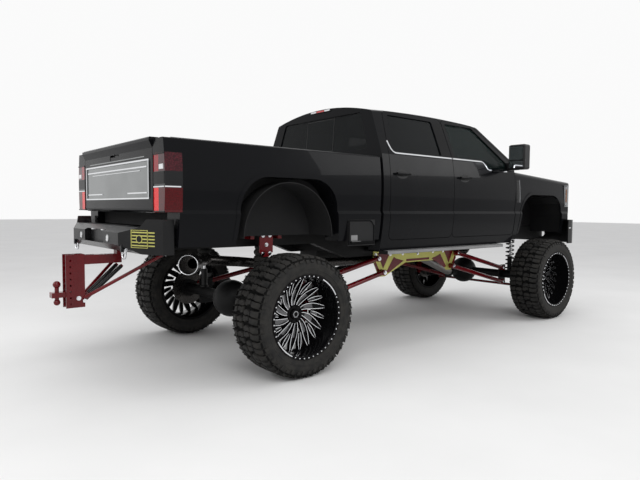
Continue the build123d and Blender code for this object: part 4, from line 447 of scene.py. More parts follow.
BIG_LUG = (
    (0.006, 0.010), (0.034, 0.002), (0.052, 0.018), (0.074, 0.016),
    (0.080, 0.044), (0.056, 0.052), (0.036, 0.044), (0.012, 0.054),
)
SMALL_LUG = (
    (0.010, 0.066), (0.034, 0.056), (0.062, 0.066), (0.084, 0.058),
    (0.090, 0.086), (0.066, 0.098), (0.040, 0.104), (0.016, 0.092),
)
LONG_LUG = (
    (0.092, 0.004), (0.128, -0.004), (0.178, -0.006), (0.1865, -0.006),
    (0.1865, 0.040), (0.178, 0.042), (0.130, 0.040), (0.096, 0.046),
)
SHORT_LUG = (
    (0.100, 0.062), (0.132, 0.052), (0.176, 0.050), (0.1845, 0.050),
    (0.1845, 0.100), (0.176, 0.102), (0.134, 0.098), (0.104, 0.104),
)


def tyre_mesh(build):
    """The tyre's carcass and lugs. Marks: 0 rubber, 1 the grooves' floor, in darker rubber as painted shade."""
    inner = TYRE_R - LUG_DEPTH
    wall = [
        (0.110, inner), (0.160, inner - 0.006), (0.176, inner - 0.016), (0.186, inner - 0.034),
        (0.1925, 0.440), (0.1935, 0.436), (0.1955, 0.434), (0.197, 0.425), (0.197, 0.405), (0.1955, 0.398),
        (0.1965, 0.396), (0.1965, 0.392), (0.1935, 0.390), (0.190, 0.374), (0.1865, 0.364), (0.1865, 0.358),
        (0.1795, 0.353), (0.1777, 0.346), (0.1777, 0.3305), (0.158, 0.3305), (0.166, 0.36), (0.177, 0.41),
        (0.158, 0.442), (0.1, 0.468),
    ]
    build.ring((0, 0, 0), (0, 1, 0), [(-a, r) for a, r in reversed(wall)] + wall, 120)
    run = 2 * math.pi * TYRE_R / PITCHES
    for i in range(PITCHES):
        for side in (1, -1):
            s = i * run if side > 0 else i * run + run / 2
            for shape in (BIG_LUG, SMALL_LUG):
                lug(build, [(side * a, s + v) for a, v in shape], LUG_DEPTH)
            for shape, reach in ((LONG_LUG, 0.430), (SHORT_LUG, 0.446)):
                lug(build, [(side * a, s + v) for a, v in shape], LUG_DEPTH + 0.004)
                low = min(v for a, v in shape) + 0.006
                high = max(v for a, v in shape) - 0.006
                biter(build, side, s + low, s + high, reach)
    # Faces that lie low between the lugs get mark 1, the darker rubber of painted shade
    for k, face in enumerate(build.faces):
        radii = [math.hypot(build.verts[i][0], build.verts[i][2]) for i in face]
        if all(inner - 0.03 < r < inner + 0.0005 for r in radii):
            build.marks[k] = 1


def biter(build, side, s0, s1, reach):
    """A shoulder bar that runs from the tread's edge down the side wall."""
    rows = [(0.180, 0.485), (0.1905, 0.470), (0.1965, 0.452), (0.197, reach + 0.008), (0.192, reach)]
    under = [(0.165, 0.480), (0.176, 0.462), (0.184, 0.446), (0.187, reach + 0.006), (0.187, reach)]
    verts, faces = [], []
    for row in (rows, under):
        for k, (a, r) in enumerate(row):
            taper = 0.05 * (s1 - s0) * k
            verts.append(polar(side * a, r, (s0 + taper) / TYRE_R))
            verts.append(polar(side * a, r, (s1 - taper) / TYRE_R))
    n = len(rows)
    for k in range(n - 1):
        a, b = 2 * k, 2 * (k + 1)
        faces.append((a, a + 1, b + 1, b))
        faces.append((a, b, b + 2 * n, a + 2 * n))
        faces.append((a + 1, a + 1 + 2 * n, b + 1 + 2 * n, b + 1))
    faces.append((2 * n - 2, 2 * n - 1, 4 * n - 1, 4 * n - 2))
    build.add(verts, faces)


RIM_LIP = 0.186
SPOKE_COUNT = 10
SPOKE_START, SPOKE_END, SHORT_START = 0.078, 0.302, 0.170
LONG_LEAF, SHORT_LEAF = 0.0250, 0.0150
DOT_COUNT, DOT_CIRCLE = 45, 0.3355
NUT_COUNT, NUT_CIRCLE = 8, 0.066
ARC_STARTS, ARC_SPAN = (118, 298), 34


def rim_mesh(build):
    """The black rim: lip, barrel, spokes and hub. Marks: 0 black, 1 milled, 3 pocket metal; 2 isn't used."""
    lip, middle, axis = RIM_LIP, (0, 0, 0), (0, 1, 0)
    build.ring(middle, axis, [
        (lip - 0.010, 0.3465), (lip - 0.002, 0.3465), (lip, 0.344), (lip, 0.327), (lip - 0.004, 0.322),
        (lip - 0.020, 0.3195), (0.070, 0.3105), (0.045, 0.306), (0.022, 0.298), (0.000, 0.296),
        (-0.030, 0.300), (-lip + 0.010, 0.318), (-lip, 0.324), (-lip, 0.3465), (-lip + 0.008, 0.3465),
        (-lip + 0.008, 0.3295), (lip - 0.010, 0.3295),
    ], 128)
    for i in range(SPOKE_COUNT):
        blade(build, 2 * math.pi * i / SPOKE_COUNT, SPOKE_START, LONG_LEAF)
        blade(build, 2 * math.pi * (i + 0.5) / SPOKE_COUNT, SHORT_START, SHORT_LEAF)
    build.ring(middle, axis, [
        (-0.077, 0.046), (-0.077, 0.091), (-0.034, 0.091), (-0.020, 0.094), (-0.006, 0.088), (0.004, 0.074),
        (0.004, 0.046),
    ], 64)
    build.ring(middle, axis, [
        (-0.002, 0.045), (0.014, 0.045), (0.020, 0.040), (0.022, 0.030), (0.022, 0.0005), (-0.002, 0.0005),
    ], 40)
    build.ring(middle, axis, [(0.0215, 0.026), (0.0235, 0.025), (0.0235, 0.022), (0.0215, 0.021)], 40, 1)
    for i in range(NUT_COUNT):
        t = 2 * math.pi * (i + 0.5) / NUT_COUNT
        x, z = NUT_CIRCLE * math.cos(t), NUT_CIRCLE * math.sin(t)
        build.rod((x, -0.01, z), (x, 0.012, z), 0.0095, 6)
    for i in range(DOT_COUNT):
        t = 2 * math.pi * (i + 0.5) / DOT_COUNT
        if abs(((math.degrees(t) - 45) % 180) - 90) < 20:
            continue
        x, z = DOT_CIRCLE * math.cos(t), DOT_CIRCLE * math.sin(t)
        build.rod((x, lip - 0.001, z), (x, lip + 0.0016, z), 0.0068, 8, 1, 0.0055)
    for start in ARC_STARTS:
        arc_band(build, start, ARC_SPAN, 0.331, 0.340)


def arc_band(build, start_deg, span_deg, low, high):
    """A milled band on the lip's face."""
    steps = 18
    verts, faces = [], []
    for i in range(steps + 1):
        t = math.radians(start_deg + span_deg * i / steps)
        verts += [polar(a, r, t) for r in (low, high) for a in (RIM_LIP - 0.001, RIM_LIP + 0.0014)]
    for i in range(steps):
        a, b = 4 * i, 4 * (i + 1)
        faces += [(a + 1, a + 3, b + 3, b + 1), (a, a + 1, b + 1, b), (a + 2, b + 2, b + 3, a + 3)]
    faces += [(0, 2, 3, 1), (4 * steps, 4 * steps + 1, 4 * steps + 3, 4 * steps + 2)]
    build.add(verts, faces, 1)


def blade(build, angle, start, widest):
    """One curved leaf-shaped spoke: a milled rim round a sunk pocket, on a black body."""
    steps = 20
    rows = []
    for i in range(steps + 1):
        u = i / steps
        r = start + (SPOKE_END - start) * u
        v = (r - SPOKE_START) / (SPOKE_END - SPOKE_START)
        mid = angle + 0.10 + 0.62 * v - 0.20 * v * v
        half = 0.004 + widest * math.sin(math.pi * (0.10 + 0.84 * u)) ** 0.75
        edge = min(half * 0.36, 0.0058)
        rise = 0.004 + 0.030 * v * v
        pocket = 0.016 * min(1.0, 6 * u, 6 * (1 - u))
        section = (
            (-half - 0.003, rise - 0.034), (-half, rise - 0.002), (-half + 0.001, rise), (-half + edge, rise),
            (-half + edge + 0.0015, rise - pocket), (half - edge - 0.0015, rise - pocket),
            (half - edge, rise), (half - 0.001, rise), (half, rise - 0.002), (half + 0.003, rise - 0.034),
        )
        rows.append([polar(y, r, mid + off / r) for off, y in section])
    n = len(rows[0])
    marks = {1: 1, 2: 1, 6: 1, 7: 1, 4: 3}
    base = len(build.verts)
    build.verts += [Vector(v) for row in rows for v in row]
    for i in range(steps):
        low, high = base + i * n, base + (i + 1) * n
        for k in range(n):
            m = (k + 1) % n
            build.faces.append([low + k, low + m, high + m, high + k])
            build.marks.append(0 if k == 4 and i > steps * 0.5 else marks.get(k, 0))
    for row in (0, steps):
        build.faces.append([base + row * n + k for k in range(n)])
        build.marks.append(1 if row else 0)


def set_wheel(build, form, node, wheel, axle, hand, finishes):
    """A wheel piece carried from its own centre to its place; the right side is turned half round."""
    centre = at(axle, hand * TRACK_HALF, HUB_Z)
    turn = Matrix.Rotation(0 if hand > 0 else math.pi, 3, "Z")
    verts = [centre + turn @ Vector(v) for v in build.verts]
    piece = place(f"{form}_{wheel}", verts, build.faces, finishes, 35.0, f"wheel_{wheel}", build.marks)
    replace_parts(piece, f"{node}_{wheel}")


tyre_build, rim_build = Build(), Build()
tyre_mesh(tyre_build)
rim_mesh(rim_build)
for end, axle in AXLES:
    for hand_name, hand in HANDS:
        wheel = f"{end}_{hand_name}"
        set_wheel(tyre_build, "tread", "tyre", wheel, axle, hand, [RUBBER, GROOVE_SHADE_RUBBER])
        rim_finishes = [GLOSS_BLACK, MILLED, CHROME, POCKET_METAL]
        set_wheel(rim_build, "spokes", "rim", wheel, axle, hand, rim_finishes)


# The body's skin, in millimetres: (across, height) or (across, drop) pairs, and stations
BELT = (965, 1925)
ROOF = (731, 2490)
CREASE_Z, LEDGE_Z = 1345, 1373
UPPER_SIDE = ((988, LEDGE_Z), (999, 1600), BELT)
LOWER_SIDE = ((948, 990), (984, 1180), (1003, CREASE_Z))
NOSE_X, NOSE_TIP_Y, NOSE_FLAT_Y, NOSE_SWEEP = 4955, 250, 760, 75
FENDER_TOP = (978, -70)
FENDER_FLARE = (1003, -460)
HOOD_REAR, HOOD_FALL = 3400, 0.06
NOSE_CORNER = (4790, 1003)
SCREEN_FOOT, SCREEN_SWEEP, COWL_Z, SCREEN_SLOPE = 3680, 175, 1885, math.radians(33)


def through(z, points):
    """The value at z of the parabola through three (value, height) points."""
    (a, p), (b, q), (c, r) = points
    return (
        a * (z - q) * (z - r) / ((p - q) * (p - r))
        + b * (z - p) * (z - r) / ((q - p) * (q - r))
        + c * (z - p) * (z - q) / ((r - p) * (r - q))
    )


def side_y(z):
    """The body side's distance from the middle at a height."""
    if z > BELT[1]:
        return BELT[0] - (z - BELT[1]) * (BELT[0] - ROOF[0]) / (ROOF[1] - BELT[1])
    if z > LEDGE_Z:
        return through(z, UPPER_SIDE)
    if z > CREASE_Z:
        return 1003 - 15 * (z - CREASE_Z) / (LEDGE_Z - CREASE_Z)
    return through(z, LOWER_SIDE)


def skin_y(station, z):
    """The outer skin's distance from the middle, with the fenders' taper ahead of the cab."""
    if station < HOOD_REAR:
        return side_y(z)
    below = z - BELT[1] + HOOD_FALL * (station - HOOD_REAR)
    share = max(0.0, min(1.0, (FENDER_TOP[1] - below) / (FENDER_TOP[1] - FENDER_FLARE[1])))
    return min(side_y(z), FENDER_TOP[0] + share * (FENDER_FLARE[0] - FENDER_TOP[0]))


def nose_x(across):
    """The nose's station at a distance from the middle."""
    y = abs(across)
    if y <= NOSE_TIP_Y:
        return NOSE_X
    if y <= NOSE_FLAT_Y:
        return NOSE_X - (y - NOSE_TIP_Y) * NOSE_SWEEP / (NOSE_FLAT_Y - NOSE_TIP_Y)
    corner = NOSE_X - NOSE_SWEEP
    return corner - (y - NOSE_FLAT_Y) * (corner - NOSE_CORNER[0]) / (NOSE_CORNER[1] - NOSE_FLAT_Y)


def screen_point(y, z, lift):
    """A point over the windscreen at a distance across and a height, lifted off the glass."""
    foot = SCREEN_FOOT - SCREEN_SWEEP * (y / 1003) ** 2
    along = (z - COWL_Z) / math.tan(SCREEN_SLOPE)
    return foot - along + lift * math.sin(SCREEN_SLOPE), y, z + lift * math.cos(SCREEN_SLOPE)


def slab(build, low, high, mark=0):
    """A box between two corners given in millimetres as (station, across, height)."""
    a, b = at(*low), at(*high)
    build.box(tuple(min(p, q) for p, q in zip(a, b)), tuple(max(p, q) for p, q in zip(a, b)), mark)


def bar(build, start, end, radius, sides=14, mark=0, end_radius=None):
    """A rod between two (station, across, height) points, in millimetres."""
    end_radius = radius if end_radius is None else end_radius
    build.rod(at(*start), at(*end), radius / 1000, sides, mark, end_radius / 1000)


def hoop(build, centre, axis, radius, wire, sides=40):
    """A round ring of round wire."""
    section = [(wire * math.sin(t) / 1000, (radius + wire * math.cos(t)) / 1000) for t in around(10)]
    build.ring(at(*centre), axis, section, sides)


def profile(build, points, across, depth, mark=0):
    """A flat outline of (station, height) points with a depth across, in millimetres."""
    build.prism([at(x, across, z) for x, z in points], (0, depth / 1000, 0), mark)


def sweep(build, points, radius, sides=12, mark=0):
    """A round bar along a list of (station, across, height) points."""
    path = [at(*p) for p in points]
    rows = []
    side = None
    for i, p in enumerate(path):
        run = (path[min(i + 1, len(path) - 1)] - path[max(i - 1, 0)]).normalized()
        side = run.orthogonal() if side is None else side - run * side.dot(run)
        side.normalize()
        other = run.cross(side)
        rows.append([p + (side * math.cos(t) + other * math.sin(t)) * radius / 1000 for t in around(sides)])
    skin_rows(build, rows, mark)


def skin_rows(build, rows, mark=0):
    """Faces over closed rows of points, with both ends shut."""
    n, last = len(rows[0]), len(rows) - 1
    faces = [
        (i * n + k, i * n + (k + 1) % n, (i + 1) * n + (k + 1) % n, (i + 1) * n + k)
        for i in range(last)
        for k in range(n)
    ]
    faces += [tuple(range(n)), tuple(range(last * n, last * n + n))]
    build.add([v for row in rows for v in row], faces, mark)


def rows_across(build, section, hand, acrosses, mark=0):
    """A section carried across: a function of the distance across gives its (station, height) points."""
    skin_rows(build, [[at(x, hand * y, z) for x, z in section(y)] for y in acrosses], mark)


def nose_strip(build, acrosses, back, front, low, high, hand=1, mark=0):
    """A strip that follows the nose, from back to front of it and from low to high."""
    corners = ((back, low), (front, low), (front, high), (back, high))
    rows_across(build, lambda y: [(nose_x(y) + d, z) for d, z in corners], hand, acrosses, mark)


def moulding(build, line, hand, width, proud):
    """A strip with rounded shoulders that follows (station, height) points on the body's side."""
    rows = []
    for i, (x, z) in enumerate(line):
        a, b = line[max(i - 1, 0)], line[min(i + 1, len(line) - 1)]
        run = Vector((b[0] - a[0], b[1] - a[1])).normalized()
        row = []
        for share, lift in ((-0.5, -1.5), (-0.38, proud), (0.38, proud), (0.5, -1.5)):
            px, pz = x - run.y * width * share, z + run.x * width * share
            row.append(at(px, hand * (skin_y(px, pz) + lift), pz))
        rows.append(row)
    skin_rows(build, rows)


def patch(build, corners, hand, proud, steps=6):
    """A thin plate on the body's side over (station, low, high) edges."""
    rows = []
    for x, low, high in corners:
        heights = [low + (high - low) * k / steps for k in range(steps + 1)]
        row = [at(x, hand * (skin_y(x, z) + proud), z) for z in heights]
        row += [at(x, hand * (skin_y(x, z) - 1.5), z) for z in reversed(heights)]
        rows.append(row)
    skin_rows(build, rows)


def bolt(build, centre, axis, radius, height):
    """A six-sided bolt head on a washer, standing out along an axis."""
    c, a = at(*centre), Vector(axis).normalized()
    build.rod(c, c + a * height * 0.35 / 1000, radius * 1.5 / 1000, 16)
    build.rod(c, c + a * height / 1000, radius / 1000, 6)


def block(name, finish, slot, low, high, body="chassis"):
    """A piece that is one box."""
    build = Build()
    slab(build, low, high)
    build.place(name, finish, slot, None, body)


# Body side trim: bright belt mouldings, dark pillar covers and the vent behind each front arch
BELT_LINES = {
    "rear": [
        (1208, 2062), (1222, 2010), (1236, 1977), (1252, 1957), (1276, 1945), (1310, 1942), (1700, 1942),
        (2174, 1942),
    ],
    "front": [
        (2192, 1942), (2400, 1942), (2725, 1942), (2760, 1930), (2826, 1864), (2856, 1851), (3000, 1850),
        (3225, 1850),
    ],
}
PILLAR_COVERS = {"rear": (2014, 2174), "front": (2192, 2240)}
HANDLE_STATIONS = {"rear": 1350, "front": 2370}
CUP_Z = 1736
for hand_name, hand in HANDS:
    for door in ("rear", "front"):
        where = f"{door}_{hand_name}"
        belt = Build()
        moulding(belt, BELT_LINES[door], hand, 17, 3.5)
        belt.place(f"belt_strip_{where}", CHROME, "bright_trim", 50.0, body=f"door_{where}")
    for door in ("rear", "front"):
        where = f"{door}_{hand_name}"
        cover = Build()
        patch(cover, [(x, 1962, 2334) for x in PILLAR_COVERS[door]], hand, 1.2)
        cover.place(f"pillar_cover_{where}", GLOSS_BLACK, "body_paint", 40.0, body=f"door_{where}")
    vent = Build()
    patch(vent, [(3428, 1492, 1748), (3436, 1484, 1756), (3490, 1484, 1756), (3498, 1492, 1748)], hand, 2.0)
    for i in range(7):
        z = 1510 + i * 36
        patch(vent, [(3440, z, z + 10), (3486, z + 6, z + 16)], hand, 7.0, 1)
    vent.place(f"fender_vent_{hand_name}", TRIM, "black_steel", 30.0)
    rim = Build()
    moulding(rim, [(3500, 1482), (3503, 1560), (3503, 1680), (3500, 1758)], hand, 5, 4.0)
    rim.place(f"vent_strip_{hand_name}", CHROME, "bright_trim", 50.0)
    for door, station in HANDLE_STATIONS.items():
        where = f"{door}_{hand_name}"
        cup = Build()
        oval = [(station + 88 * math.cos(t), CUP_Z + 44 * math.sin(t)) for t in around(16, math.pi)]
        patch(cup, [(x, 2 * CUP_Z - z, z) for x, z in reversed(oval) if z - CUP_Z > 1], hand, 1.4, 1)
        cup.place(f"handle_cup_{where}", TRIM, "cabin_plastic", 40.0, body=f"door_{where}")
        grip = Build()
        rows = []
        for k in range(9):
            u = k / 8
            half = 15 * math.sin(math.pi * (0.12 + 0.76 * u)) ** 0.5
            top = ((1006, half), (1023, half), (1026, half - 4))
            section = (*top, *((y, -z) for y, z in reversed(top)))
            rows.append([at(station - 98 + 196 * u, hand * y, 1740 + z) for y, z in section])
        skin_rows(grip, rows)
        grip.place(f"handle_grip_{where}", GLOSS_BLACK, "body_paint", 40.0, body=f"door_{where}")
        lock = Build()
        bar(lock, (station + 70, hand * 1013, 1740), (station + 70, hand * 1026, 1740), 6, 14)
        lock.place(f"door_lock_{where}", CHROME, "bright_trim", 40.0, body=f"door_{where}")


# Tail lamps: silver strip and black band over the zoned lenses
def tail_lamp_finish():
    """Red, smoked and bright red fields split by height and by distance from the middle."""
    f = Finish(
        "tail_lamp_lens", (0.5, 0.01, 0.012), 0.14, 0.0,
        Specular_IOR_Level=0.16, Coat_Weight=0.5, Coat_Roughness=0.03, Coat_IOR=1.3,
    )
    across = f.maths("ABSOLUTE", f.axis("Y"))
    height = f.axis("Z")
    outer = f.grey(across, 0.0, 1.0, 0.889, 0.891)
    low = f.grey(height, 1.0, 0.0, 1.533, 1.535)
    high = f.grey(height, 0.0, 1.0, 1.650, 1.652)
    cells = f.cells(95.0)
    red = f.ramp(cells, (0.0, (0.42, 0.0, 0.008)), (0.5, (0.20, 0.0, 0.006)))
    bright = f.ramp(cells, (0.0, (0.80, 0.004, 0.004)), (0.6, (0.62, 0.001, 0.002)))
    smoke = f.ramp(cells, (0.0, (0.10, 0.008, 0.016)), (0.6, (0.028, 0.002, 0.005)))
    dark_red = f.ramp(cells, (0.0, (0.10, 0.0, 0.003)), (0.6, (0.05, 0.0, 0.001)))
    upper_field = f.mix(outer, red, smoke)
    lower_field = f.mix(outer, bright, dark_red)
    field = f.mix(high, f.mix(low, (0.006, 0.006, 0.007), lower_field), upper_field)
    f.link(field, "Base Color")
    f.link(field, "Emission Color")
    f.set("Emission Strength", 0.10)
    f.bump(f.maths("SINE", f.maths("MULTIPLY", height, 520.0)), 0.25, 0.0008)
    return f.material


TAIL_LENS = tail_lamp_finish()
for hand_name, hand in HANDS:
    strips = Build()
    slab(strips, (-1125, hand * 800, 1536), (-1119, hand * 992, 1545))
    slab(strips, (-1122, hand * 988, 1536), (-1000, hand * (side_y(1540) + 2.5), 1545))
    strips.place(f"lamp_strip_{hand_name}", CHROME, "bright_trim")
    housing = Build()
    slab(housing, (-1124.5, hand * 798, 1560), (-1120, hand * 990, 1648))
    for low, high in ((1772, 1782), (1360, 1368)):
        slab(housing, (-1126, hand * 798, low), (-1120, hand * 994, high))
    slab(housing, (-1126, hand * 797.5, 1362), (-1119, hand * 804, 1780))
    housing.place(f"lamp_bezel_{hand_name}", GLOSS_BLACK, "black_steel")
    block(
        f"reverse_lamp_{hand_name}", WHITE_LENS, "clear_lens",
        (-1125.5, hand * 905, 1665), (-1119, hand * 975, 1700),
    )

# Tailgate: bright border and strips on the satin panel, and the camera over the handle
gate = Build()
for low, high in ((1738, 1750), (1454, 1464)):
    slab(gate, (-1131.5, -738, low), (-1121, 738, high))
for hand in (1, -1):
    slab(gate, (-1131.5, hand * 722, 1464), (-1121, hand * 734, 1738))
slab(gate, (-1128, -690, 1690), (-1121, 690, 1701))
slab(gate, (-1127, -560, 1668), (-1121, 560, 1673))
for hand in (1, -1):
    slab(gate, (-1127, hand * 300, 1496), (-1121, hand * 690, 1506))
gate.place("gate_trim", CHROME, "bright_trim", body="tailgate")
block("gate_ledge", SATIN, "bright_trim", (-1124, -640, 1768), (-1120, 640, 1776), body="tailgate")
handle = Build()
outline = ((-100, 1778), (100, 1778), (100, 1808), (-100, 1808))
handle.prism([at(-1101, y, z) for y, z in outline], (-0.019, 0, 0))
bar(handle, (-1118, 0, 1830), (-1126, 0, 1830), 11, 20)
handle.place("gate_handle", TRIM, "cabin_plastic", 40.0, body="tailgate")

# Rear bumper: gold slats in the wings, recessed lamps, shackles and the step's tread pad
WING_IN, WING_OUT = Vector((-1300, 560)), Vector((-1125, 967))
VENT_Z, VENT_PITCH, BOSS_AT = 1160, 24, 216
VENT_BORDER = (
    ((134, 1094), (139, 1226)), ((293, 1094), (298, 1226)), ((139, 1094), (293, 1098)),
    ((139, 1222), (293, 1226)),
)


def on_wing(hand, along, height, out):
    """A point on a bumper wing's rear face, a distance along it and out of it."""
    run = (WING_OUT - WING_IN).normalized()
    p = WING_IN + run * along + Vector((-run.y, run.x)) * out
    return at(p.x, hand * p.y, height)


def wing_outline(build, hand, outline, low_out, high_out):
    """An outline of (along, height) points on a wing's face with a depth out of it."""
    skin_rows(build, [[on_wing(hand, a, z, out) for a, z in outline] for out in (low_out, high_out)])


def wing_bar(build, hand, low, high, low_out, high_out):
    """A block on a wing's face from (along, height) to (along, height)."""
    corners = [(low[0], low[1]), (high[0], low[1]), (high[0], high[1]), (low[0], high[1])]
    wing_outline(build, hand, corners, low_out, high_out)


def wing_disc(build, hand, radius, low_out, high_out):
    """A round plate over the middle of a wing's vent."""
    circle = [(BOSS_AT + radius * math.cos(t), VENT_Z + radius * math.sin(t)) for t in around(28)]
    wing_outline(build, hand, circle, low_out, high_out)


for hand_name, hand in HANDS:
    slats = Build()
    for centre, length in ((BOSS_AT, 152), (334, 64)):
        for row in range(-2, 3):
            z = VENT_Z + row * VENT_PITCH
            low, high = (centre - length / 2 + 1, z - 4.5), (centre + length / 2 - 1, z + 4.5)
            wing_bar(slats, hand, low, high, -7.5, 1.5)
    for low, high in VENT_BORDER:
        wing_bar(slats, hand, low, high, -1.0, 2.5)
    wing_disc(slats, hand, 31, -1.0, 3.0)
    slats.place(f"bumper_slats_{hand_name}", GOLD, "red_paint", 30.0)
    boss = Build()
    wing_disc(boss, hand, 24, 2.0, 4.2)
    boss.place(f"bumper_boss_{hand_name}", BLACK_STEEL, "black_steel", 30.0)
    lug_y = hand * 585
    block(
        f"shackle_lug_{hand_name}", BLACK_STEEL, "black_steel",
        (-1290, lug_y - 13, 1056), (-1240, lug_y + 13, 1112),
    )
    shackle = Build()
    bow = [
        (-1266, lug_y + 31 * math.cos(t), 1050 - 42 * math.sin(t) ** 0.9)
        for t in (math.pi * k / 18 for k in range(1, 18))
    ]
    legs = ((27, 1076), (29, 1060)), ((-29, 1060), (-27, 1076))
    down, back_up = ([(-1266, lug_y + y, z) for y, z in leg] for leg in legs)
    sweep(shackle, [*down, *bow, *back_up], 9.5, 14)
    bar(shackle, (-1266, lug_y - 41, 1074), (-1266, lug_y + 41, 1074), 9, 16)
    bar(shackle, (-1266, lug_y - 49, 1074), (-1266, lug_y - 41, 1074), 14, 6)
    shackle.place(f"shackle_{hand_name}", CHROME, "bright_steel", 40.0)
lights = Build()
for y in (330, -330):
    bar(lights, (-1299, y, 1150), (-1303.5, y, 1150), 24, 24)
lights.place("bumper_lamps", WHITE_LENS, "clear_lens", 40.0)
rings = Build()
for y in (330, -330):
    hoop(rings, (-1301, y, 1150), (1, 0, 0), 27, 4)
rings.place("bumper_lamp_rings", SATIN, "bright_steel", 60.0)
plate_lamp = Build()
for y in (-120, 120):
    slab(plate_lamp, (-1273, y - 24, 1204), (-1255, y + 24, 1214))
plate_lamp.place("plate_lamps", WHITE_LENS, "clear_lens")
tread_pad = Build()
profile(tread_pad, ((-1213, 1244.5), (-1160, 1244.5), (-1160, 1249), (-1213, 1249)), -520, 1040)
tread_pad.place("bumper_tread", LINING, "bed_lining")

# Drop hitch: cross pins, the black strut sleeves and the ring at each strut's far end
pins = Build()
bar(pins, (-1398, -62, 633), (-1398, 62, 633), 10, 18)
for hand in (1, -1):
    bar(pins, (-1398, hand * 60, 633), (-1398, hand * 68, 633), 17, 6)
    hoop(pins, (-880, hand * 437, 1017), (0.76, hand * 0.58, 0.53), 19, 6)
    bolt(pins, (-1440, hand * 49, 655), (0, hand, 0), 12, 14)
pins.place("hitch_pins", CHROME, "bright_steel", 35.0)
sleeves = Build()
for hand in (1, -1):
    start, end = Vector((-1395, hand * 40, 633)), Vector((-1090, hand * 60, 905))
    a, b = start.lerp(end, 0.18), start.lerp(end, 0.97)
    bar(sleeves, a, b, 16.5, 20)
sleeves.place("hitch_sleeves", BLACK_STEEL, "black_steel", 40.0)

# Exhaust: a polished lip round the tip and a clamp behind it
tip_foot = Vector((-760, -700, 950))
tip_run = (tip_foot - Vector((-500, -400, 940))).normalized()
tip = Build()
hoop(tip, tip_foot + tip_run * 150, tip_run, 74.5, 3.4, 56)
hoop(tip, tip_foot - tip_run * 14, tip_run, 46.5, 4, 40)
tip.place("exhaust_rim", CHROME, "bright_steel", 60.0)

# Gusset plates: red windows, red flanges and bright bolts on each outer face
GUSSET_MID, GUSSET_FACE, LINK_FACE, TOWER_FACE = 2165, 518, 577.5, 621
WINDOWS = (
    ((1500, 916), (1700, 916), (1590, 744)),
    ((1447, 800), (1470, 830), (1556, 690), (1536, 668)),
    ((1640, 700), (1676, 690), (1920, 812), (1790, 846), (1760, 862)),
)
FLANGES = ((400, 902, 924), (200, 802, 828))
GUSSET_BOLTS = ((1470, 900), (1700, 890), (1900, 890), (2160, 880), (2430, 890), (2620, 890), (2860, 900))
LINK_BOLTS = ((1560, 705), (1470, 860), (2770, 705), (2860, 860))
AXLE_BOLTS = ((90, 667.7, 415), (90, 667.7, 600), (3960, 517.7, 415), (3960, 517.7, 600))
TOWER_BOLTS = ((-10, 1068), (-46, 1150), (26, 1150), (-46, 990), (26, 990))
for hand_name, hand in HANDS:
    out = (0, hand, 0)
    red = Build()
    for points in WINDOWS:
        for fold in (1, -1):
            outline = [(x if fold > 0 else 2 * GUSSET_MID - x, z) for x, z in points]
            profile(red, outline, hand * (GUSSET_FACE - 0.5), hand * 3)
    for reach, low, high in FLANGES:
        left, right_end = GUSSET_MID - reach, GUSSET_MID + reach
        outline = ((left, low), (right_end, low), (right_end, high), (left, high))
        profile(red, outline, hand * (GUSSET_FACE - 0.5), hand * 4)
    red.place(f"gusset_windows_{hand_name}", RED_COAT, "red_paint")
    bolts = Build()
    for x, z in GUSSET_BOLTS:
        bolt(bolts, (x, hand * (GUSSET_FACE - 1), z), out, 11, 14)
    for x, z in LINK_BOLTS:
        bolt(bolts, (x, hand * LINK_FACE, z), out, 15, 16)
    for x, y, z in AXLE_BOLTS:
        bolt(bolts, (x, hand * y, z), out, 15, 16)
    bolts.place(f"link_bolts_{hand_name}", CHROME, "bright_steel", 35.0)
    fittings = Build()
    for x, z in TOWER_BOLTS:
        bolt(fittings, (x, hand * TOWER_FACE, z), out, 12, 14)
    for t in (0.35, 0.95, 1.57, 2.19, 2.79):
        x, z = -10 + 146 * math.cos(t), 1120 + 146 * math.sin(t)
        bolt(fittings, (x, hand * TOWER_FACE, z), out, 9, 11)
    fittings.place(f"tower_bolts_{hand_name}", CHROME, "bright_steel", 35.0)


# Spring units: air bags over dampers at the rear, coils round dampers at the front
SPRING_Y, SPRING_LOW, COIL_HIGH = 540, 560.3, 984.7
COIL_TURNS, COIL_STEPS = 7, 168


